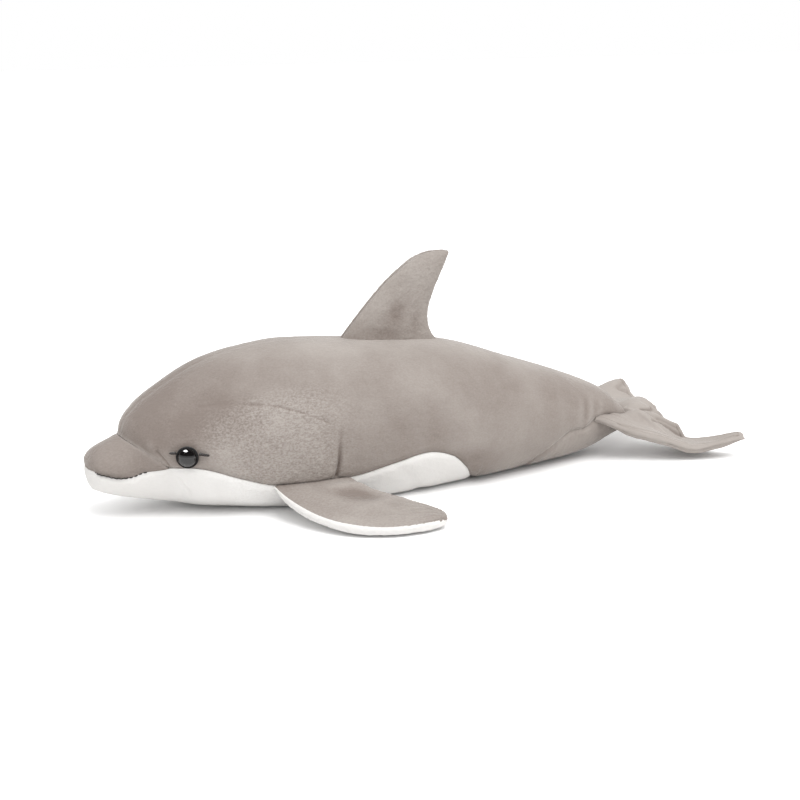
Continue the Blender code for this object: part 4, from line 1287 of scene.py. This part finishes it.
# Heights of the flukes' folds in millimetres over the floor. Columns go from the left tip to the right one,
# at the shares in FLUKE_STOPS, and rows from a fifth of the way out to the far edge.
FLUKE_STOPS = (
    0.0, 0.06, 0.13, 0.21, 0.29, 0.335, 0.38, 0.43, 0.48, 0.55, 0.64, 0.72, 0.79, 0.86, 0.93, 1.0
)
FLUKE_HEIGHTS = (
    (17.2, 17.4, 17.6, 19.0, 23.2, 21.4, 22.0, 22.5, 24.1, 23.8, 22.5, 21.6, 21.0, 21.0, 20.8, 20.5),
    (11.8, 12.4, 11.9, 12.5, 17.3, 17.4, 20.3, 20.9, 24.4, 25.6, 22.6, 21.0, 20.6, 21.6, 22.4, 22.4),
    (6.5, 6.5, 6.7, 7.1, 9.4, 12.4, 17.8, 18.4, 22.3, 25.1, 23.6, 21.3, 20.6, 22.4, 24.0, 23.8),
    (9.4, 7.8, 6.0, 4.9, 5.2, 7.4, 14.2, 14.3, 19.8, 23.6, 23.7, 21.3, 19.7, 23.0, 26.5, 25.6),
    (11.4, 12.8, 9.8, 6.4, 4.4, 5.0, 11.6, 11.0, 17.0, 20.4, 21.5, 20.9, 19.2, 21.6, 27.0, 27.4),
)

# Small folds on the flukes' upper layer: places (s, t), depth and half width in millimetres, and tone,
# painted shade along a groove and painted light along a raised fold
FLUKE_CREASES = (
    (((0.28, 0.406), (0.43, 0.437), (0.62, 0.465), (0.70, 0.481)), 1.2, 1.2, -0.60),
    (((0.11, 0.020), (0.18, 0.045), (0.31, 0.074), (0.44, 0.070), (0.56, 0.062)), 0.6, 0.9, -0.25),
    (((0.10, 0.488), (0.18, 0.300), (0.29, 0.261), (0.40, 0.232), (0.48, 0.144)), -0.8, 1.6, 0.15),
    (((0.34, 0.268), (0.61, 0.340), (0.89, 0.331)), 0.9, 1.0, -0.40),
    (((0.50, 0.360), (0.69, 0.365), (0.93, 0.365)), 0.7, 1.0, -0.30),
    (((0.75, 0.530), (0.85, 0.527), (0.93, 0.525)), -0.8, 1.6, 0.15),
    (((0.94, 0.920), (0.80, 0.885), (0.90, 0.850)), 1.2, 2.6, -0.50),
    (((0.70, 0.060), (0.80, 0.050), (0.95, 0.030)), 0.5, 0.8, -0.20),
)


def through(values, share):
    """Catmull-Rom curve through each point's own row of values, read at a share from 0 to 1 of the row."""
    last = values.shape[-1] - 1
    low = np.minimum((share * last).astype(int), last - 1)
    f = share * last - low
    places = (np.clip(low + step, 0, last)[..., None] for step in (-1, 0, 1, 2))
    p0, p1, p2, p3 = (np.take_along_axis(values, place, -1)[..., 0] for place in places)
    return p1 + f * (p2 - p0 + f * (2 * p0 - 5 * p1 + 4 * p2 - p3 + f * (3 * p1 - p0 - 3 * p2 + p3))) / 2


class PLUSH_OT_flukes(bpy.types.Operator):
    """Adds the tail flukes, two layers of fabric in fanned folds"""

    bl_idname = "plush_dolphin.flukes"
    bl_label = "Add the flukes"

    def execute(self, context):
        middle, root = fluke_shape()
        fin = Fin(middle, FLUKE_HALF_THICKNESS, FLUKE_EDGE, root, blunt=10)

        def relief(s, turn, base):
            """Seam, hem and the small creases, each a bell across a curve, with painted shade in the hem,
            the creases and along the root, painted light on the raised folds, and a tone lighter overall and
            more so over the upper layer's right part.
            """
            lift, near = edge_relief(base, 0.0002, 0.0008, 61, 0.00006)
            hem = hump(near, 0.0040, 0.0006)
            lift += 0.0003 * noise(base, 0.010, 63) - 0.0005 * hem
            tone_and_painted_light = 0.45 + 0.25 * step_up(turn, 1.8, 2.1) - 0.35 * np.exp(-s / 0.04) - 0.15 * hem
            for places, depth, width, shade in FLUKE_CREASES:
                on_s, on_t = spline(places, np.linspace(0, len(places) - 1, 14)).T
                away = line_distance(base, fin.point(on_s, np.arccos(1 - 2 * on_t)))
                bell = hump(away, 0, width / 1000) * (turn > 0)
                lift -= depth / 1000 * bell
                tone_and_painted_light += shade * bell
            return lift, near, {"tone_and_painted_light": tone_and_painted_light, "rough": 0 * s}

        above = fin.layer("fluke_upper_plush", 0.0, np.pi, 130, 300, relief, 65, 0.5, 0.998)
        dressed(above, "light_grey_plush", grey_look(), "fluke_upper_panel", fill=0.1)
        below = fin.layer("fluke_lower_plush", -np.pi, 0.0, 130, 300, relief, 65, 0.5, 0.998)
        dressed(below, "light_grey_plush", grey_look(), "fluke_lower_panel", fill=0.1)
        return {"FINISHED"}


def eye_axes(side):
    """An eye's middle on the skin and its three directions: along the body, up, and out."""
    angle = math.radians(EYE_PLACE[1]) * -side
    place = skin(EYE_PLACE[0], angle)
    out = skin_normal(EYE_PLACE[0], angle)
    up = np.array([0.0, 0.0, 1.0])
    up = unit(up - out * np.dot(out, up))
    return place, np.cross(up, out), up, out


# Height of the rim round an eye's dome, and of the points down its back and stem
EYE_RIM = 0.0011
EYE_BACK = np.array([-0.0004, -0.0008, -0.0012, -0.0085])


class PLUSH_OT_eyes(bpy.types.Operator):
    """Adds the two polished eyes, domes in beaded rims with stems behind, and finishes their washers"""

    bl_idname = "plush_dolphin.eyes"
    bl_label = "Add the eyes"

    def execute(self, context):
        trim = trim_settings()
        for side, name in ((-1, "left"), (1, "right")):
            place, along, up, out = eye_axes(side)
            radius = trim.eye_diameter / 2
            rise = np.linspace(0.499 * np.pi, 0.12, 48)
            bead = np.linspace(2.6, -0.9, 20)
            profile = (
                (0.83 * radius * np.cos(rise), EYE_RIM + (trim.eye_height - EYE_RIM) * np.sin(rise)),
                (radius * (0.91 + 0.09 * np.cos(bead)), 0.6 * EYE_RIM + 0.0004 * np.sin(bead)),
                (radius * np.array([0.96, 0.30, 0.27, 0.27]), EYE_BACK),
            )
            ring_radius = np.concatenate([part[0] for part in profile])
            ring_height = np.concatenate([part[1] for part in profile])
            turn = np.linspace(0, 2 * np.pi, 96, endpoint=False)
            rings = (
                place
                + (ring_radius[:, None] * np.cos(turn))[..., None] * along
                + (ring_radius[:, None] * np.sin(turn))[..., None] * up
                + ring_height[:, None, None] * out
            )
            on_rim = (np.arange(len(rings)) >= len(rise)) * 1.0
            piece = tube_body(f"{name}_eye_dome", rings, {"rim": on_rim})
            piece.data.materials.append(eye_look())
            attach(piece, "root")
            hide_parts(f"{name}_eye")
            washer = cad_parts[f"{name}_eye_washer"]
            washer.material_slots[0].material = washer_look()
        return {"FINISHED"}


def twisted_thread(name, path, out, diameter, plies=3, turns_per_metre=900):
    """Rope of plies: the tube's radius is r (0.80 + 0.20 |cos(plies (angle - twist) / 2)|).

    The twist grows with the length, and both ends are rounded.
    """
    run = steps_between(path, 0)
    ahead = unit(np.gradient(path, axis=0))
    side = unit(np.cross(ahead, out))
    up = np.cross(side, ahead)
    turn = np.linspace(0, 2 * np.pi, 18, endpoint=False)
    twist = 2 * np.pi * turns_per_metre * run[:, None] / plies
    radius = diameter / 2 * (0.80 + 0.20 * np.abs(np.cos(plies * (turn - twist) / 2)))
    close = np.minimum(1, np.minimum(run, run[-1] - run)[:, None] / (diameter / 2))
    radius = radius * np.sqrt(np.maximum(1 - (1 - close) ** 2, 0.02))
    across, over = (radius * np.cos(turn))[..., None], (radius * np.sin(turn))[..., None]
    return tube_body(name, path[:, None] + across * side[:, None] + over * up[:, None])


# Stitches at an eye's corners: name, way along the body, length past the rim, and rise at both ends
EYE_STITCHES = (("front", -1, 0.0036, 0.0028, 0.0026), ("rear", 1, 0.0040, 0.0018, 0.0008))

# Sections between which the mouth's thread runs, and the length of one of its stitches
MOUTH_THREAD_SECTIONS = (1.2, 3.42)
MOUTH_STITCH = 0.0026


class PLUSH_OT_threads(bpy.types.Operator):
    """Adds the stitches at the eyes' corners and along the mouth"""

    bl_idname = "plush_dolphin.threads"
    bl_label = "Add the threads"

    def execute(self, context):
        trim = trim_settings()
        rim = trim.eye_diameter / 2
        for side, name in ((-1, "left"), (1, "right")):
            for end, way, length, near_rise, far_rise in EYE_STITCHES:
                reach = np.linspace(rim - 0.0006, rim + length, 60)
                share = np.linspace(0, 1, 60)
                path, normal = self.on_skin(side, way * reach, near_rise + (far_rise - near_rise) * share)
                path = path + normal * (0.0016 - 0.0009 * share[:, None] ** 3)
                thin = 1.50 - 0.60 * share[:, None]
                diameter = trim.thread_diameter * thin
                piece = twisted_thread(f"{name}_eye_{end}_thread", path, normal, diameter)
                self.finish(piece, f"{name}_eye_{end}_stitch")
            sections = np.linspace(*MOUTH_THREAD_SECTIONS, 320)
            angle = seam_angle(BELLY_SEAM, sections) * -side
            path, normal = skin(sections, angle), skin_normal(sections, angle)
            run = steps_between(path, 0)
            sunk = 0.0002 + 0.0007 * step_up(run, 0.5 * run[-1], 0.7 * run[-1])
            sunk = sunk + 0.0008 * hump(run, 0, 0.0020)
            path = path - normal * (sunk - 0.0004 * np.cos(2 * np.pi * run / MOUTH_STITCH))[:, None]
            piece = twisted_thread(f"{name}_mouth_thread", path, normal, trim.mouth_thread_diameter)
            self.finish(piece, f"{name}_mouth_stitch")
        return {"FINISHED"}

    def on_skin(self, side, aft, rise):
        """Points and normals of the skin at distances aft and up from an eye's middle, by its slopes."""
        section, angle = EYE_PLACE[0], math.radians(EYE_PLACE[1]) * -side
        axes = np.stack(eye_axes(side)[1:3])
        by_section = (skin(section + STEP, angle) - skin(section - STEP, angle)) / (2 * STEP)
        by_angle = (skin(section, angle + STEP) - skin(section, angle - STEP)) / (2 * STEP)
        solve = np.linalg.inv(np.stack([axes @ by_section, axes @ by_angle], 1))
        steps = solve @ np.stack([-side * aft, rise])
        sections, turns = section + steps[0], angle + steps[1]
        return skin(sections, turns), skin_normal(sections, turns)

    def finish(self, piece, node):
        """Gives a thread its finish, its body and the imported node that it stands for."""
        piece.data.materials.append(thread_look())
        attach(piece, "root")
        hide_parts(node)


# Half the floor's width
FLOOR_REACH = 4.0

# The photograph's view: lens and sensor width in millimetres, degrees round from the side and up, the place
# that the camera looks at and how far it is from there
LENS = 78.525
SENSOR_WIDTH = 36.0
CAMERA_TURN = -25
CAMERA_TILT = 14
CAMERA_TARGET = (-0.010, 0, 0.045)
CAMERA_DISTANCE = 1.0

# The wide lamp's direction and the degrees that it spans
OVERHEAD_WAY = (-0.15, 0.42, -1.0)
OVERHEAD_SPAN = 45

# Middle of the lamp that the left eye reflects, the place that it points to, and its width
SPARK_PLACE = np.array([-0.42, -0.146, 0.90])
SPARK_TARGET = (-0.15, 0, 0.04)
SPARK_WIDTH = 0.50


class PLUSH_OT_stage(bpy.types.Operator):
    """Adds the floor, the light and the camera"""

    bl_idname = "plush_dolphin.stage"
    bl_label = "Add the stage"

    def execute(self, context):
        stage = context.scene.plush_dolphin_stage
        mesh = bpy.data.meshes.new("floor")
        corners = [(x * FLOOR_REACH, y * FLOOR_REACH, 0) for x, y in ((-1, -1), (1, -1), (1, 1), (-1, 1))]
        mesh.from_pydata(corners, [], [(0, 1, 2, 3)])
        floor = bpy.data.objects.new("floor", mesh)
        context.scene.collection.objects.link(floor)
        mesh.materials.append(self.floor_look(stage))
        self.sky(context, stage)
        self.overhead(stage)
        for side, name in ((-1, "left"), (1, "right")):
            self.spark(f"{name}_spark", SPARK_PLACE * np.array([1, -side, 1]), stage.spark)
        camera = bpy.data.cameras.new("photo_view")
        camera.lens = LENS
        camera.sensor_width = SENSOR_WIDTH
        seat = bpy.data.objects.new("photo_view", camera)
        context.scene.collection.objects.link(seat)
        turn, tilt = math.radians(CAMERA_TURN), math.radians(CAMERA_TILT)
        back = Vector((math.sin(turn) * math.cos(tilt), -math.cos(turn) * math.cos(tilt), math.sin(tilt)))
        seat.location = Vector(CAMERA_TARGET) + back * CAMERA_DISTANCE
        seat.rotation_mode = "QUATERNION"
        seat.rotation_quaternion = (-back).to_track_quat("-Z", "Y")
        context.scene.camera = seat
        context.scene.view_settings.view_transform = "Standard"
        return {"FINISHED"}

    def floor_look(self, stage):
        """Pale floor with a glow that only the camera and gloss see, and that fades close under the toy into
        a painted contact shadow.
        """
        look, shader, add = new_look("pale_floor")
        shader.inputs["Base Color"].default_value = (*stage.floor, 1.0)
        shader.inputs["Roughness"].default_value = 0.9
        shader.inputs["Specular IOR Level"].default_value = 0.0
        shader.inputs["Emission Color"].default_value = (1.0, 1.0, 1.0, 1.0)
        path = add("ShaderNodeLightPath")
        seen = math_node(add, "MAXIMUM", path.outputs["Is Camera Ray"], path.outputs["Is Glossy Ray"])
        # Ambient occlusion takes the glow away near the toy: a painted contact shadow.
        near = add("ShaderNodeAmbientOcclusion", in_Distance=stage.contact)
        held = math_node(add, "MULTIPLY", map_range(add, seen, 0.0, stage.glow), near.outputs["AO"])
        wire(look, shader, Emission_Strength=held)
        return look

    def sky(self, context, stage):
        """White to the camera. Gloss sees a white backdrop up to about 12 degrees, and a dark room above."""
        world = bpy.data.worlds.new("soft_sky")
        context.scene.world = world
        world.use_nodes = True
        tree = world.node_tree

        def add(kind, *links):
            """Adds a node and wires its sockets."""
            node = tree.nodes.new(kind)
            for source, socket in links:
                tree.links.new(source, node.inputs[socket])
            return node

        background = tree.nodes["Background"]
        background.inputs["Color"].default_value = (1.0, 1.0, 1.0, 1.0)
        path = add("ShaderNodeLightPath")
        way = add("ShaderNodeSeparateXYZ", (add("ShaderNodeTexCoord").outputs["Object"], "Vector"))
        room = add("ShaderNodeMapRange", (way.outputs["Z"], "Value"))
        for socket, value in (("From Min", 0.14), ("From Max", 0.30), ("To Min", 1.0), ("To Max", 0.03)):
            room.inputs[socket].default_value = value
        glossy = (path.outputs["Is Glossy Ray"], "Factor")
        gloss = add("ShaderNodeMix", glossy, (room.outputs["Result"], "B"))
        gloss.inputs["A"].default_value = stage.sky
        direct = (path.outputs["Is Camera Ray"], "Factor")
        seen = add("ShaderNodeMix", direct, (gloss.outputs["Result"], "A"))
        seen.inputs["B"].default_value = 1.0
        tree.links.new(seen.outputs["Result"], background.inputs["Strength"])

    def overhead(self, stage):
        """One wide, even lamp from above, a little to the front and the tail's side."""
        light = bpy.data.lights.new("overhead", "SUN")
        light.energy = stage.sun
        light.angle = math.radians(OVERHEAD_SPAN)
        made = bpy.data.objects.new("overhead", light)
        made.rotation_mode = "QUATERNION"
        made.rotation_quaternion = Vector(OVERHEAD_WAY).to_track_quat("-Z", "Y")
        made.visible_glossy = False
        bpy.context.scene.collection.objects.link(made)

    def spark(self, name, place, power):
        """A round lamp that only shows as the small white light in an eye."""
        light = bpy.data.lights.new(name, "AREA")
        light.shape = "DISK"
        light.size = SPARK_WIDTH
        light.energy = power
        made = bpy.data.objects.new(name, light)
        made.location = place
        made.rotation_mode = "QUATERNION"
        made.rotation_quaternion = (Vector(SPARK_TARGET) - Vector(place)).to_track_quat("-Z", "Y")
        made.visible_diffuse = False
        made.visible_camera = False
        bpy.context.scene.collection.objects.link(made)


class PLUSH_PT_panel(bpy.types.Panel):
    """Lists the pieces of the plush dolphin"""

    bl_idname = "PLUSH_PT_panel"
    bl_label = "Plush Dolphin"
    bl_space_type = "VIEW_3D"
    bl_region_type = "UI"
    bl_category = "Plush"

    def draw(self, context):
        layout = self.layout
        scene = context.scene
        for group in (scene.plush_dolphin, scene.plush_dolphin_trim, scene.plush_dolphin_stage):
            box = layout.box()
            for key in group.__annotations__:
                box.prop(group, key)
        for operator in OPERATORS:
            layout.operator(operator.bl_idname)


OPERATORS = (
    PLUSH_OT_sides,
    PLUSH_OT_underside,
    PLUSH_OT_dorsal_fin,
    PLUSH_OT_pectoral_fins,
    PLUSH_OT_flukes,
    PLUSH_OT_eyes,
    PLUSH_OT_threads,
    PLUSH_OT_stage,
)
CLASSES = (PlushSettings, TrimSettings, StageSettings, *OPERATORS, PLUSH_PT_panel)


def register():
    """Registers the classes and the scene's settings."""
    for cls in CLASSES:
        bpy.utils.register_class(cls)
    bpy.types.Scene.plush_dolphin = bpy.props.PointerProperty(type=PlushSettings)
    bpy.types.Scene.plush_dolphin_trim = bpy.props.PointerProperty(type=TrimSettings)
    bpy.types.Scene.plush_dolphin_stage = bpy.props.PointerProperty(type=StageSettings)


def unregister():
    """Takes the scene's settings and the classes away."""
    del bpy.types.Scene.plush_dolphin_stage
    del bpy.types.Scene.plush_dolphin_trim
    del bpy.types.Scene.plush_dolphin
    for cls in reversed(CLASSES):
        bpy.utils.unregister_class(cls)


def main():
    """Adds all pieces in order."""
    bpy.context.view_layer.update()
    register()
    for operator in OPERATORS:
        group, name = operator.bl_idname.split(".")
        getattr(getattr(bpy.ops, group), name)()


if __name__ == "__main__":
    main()
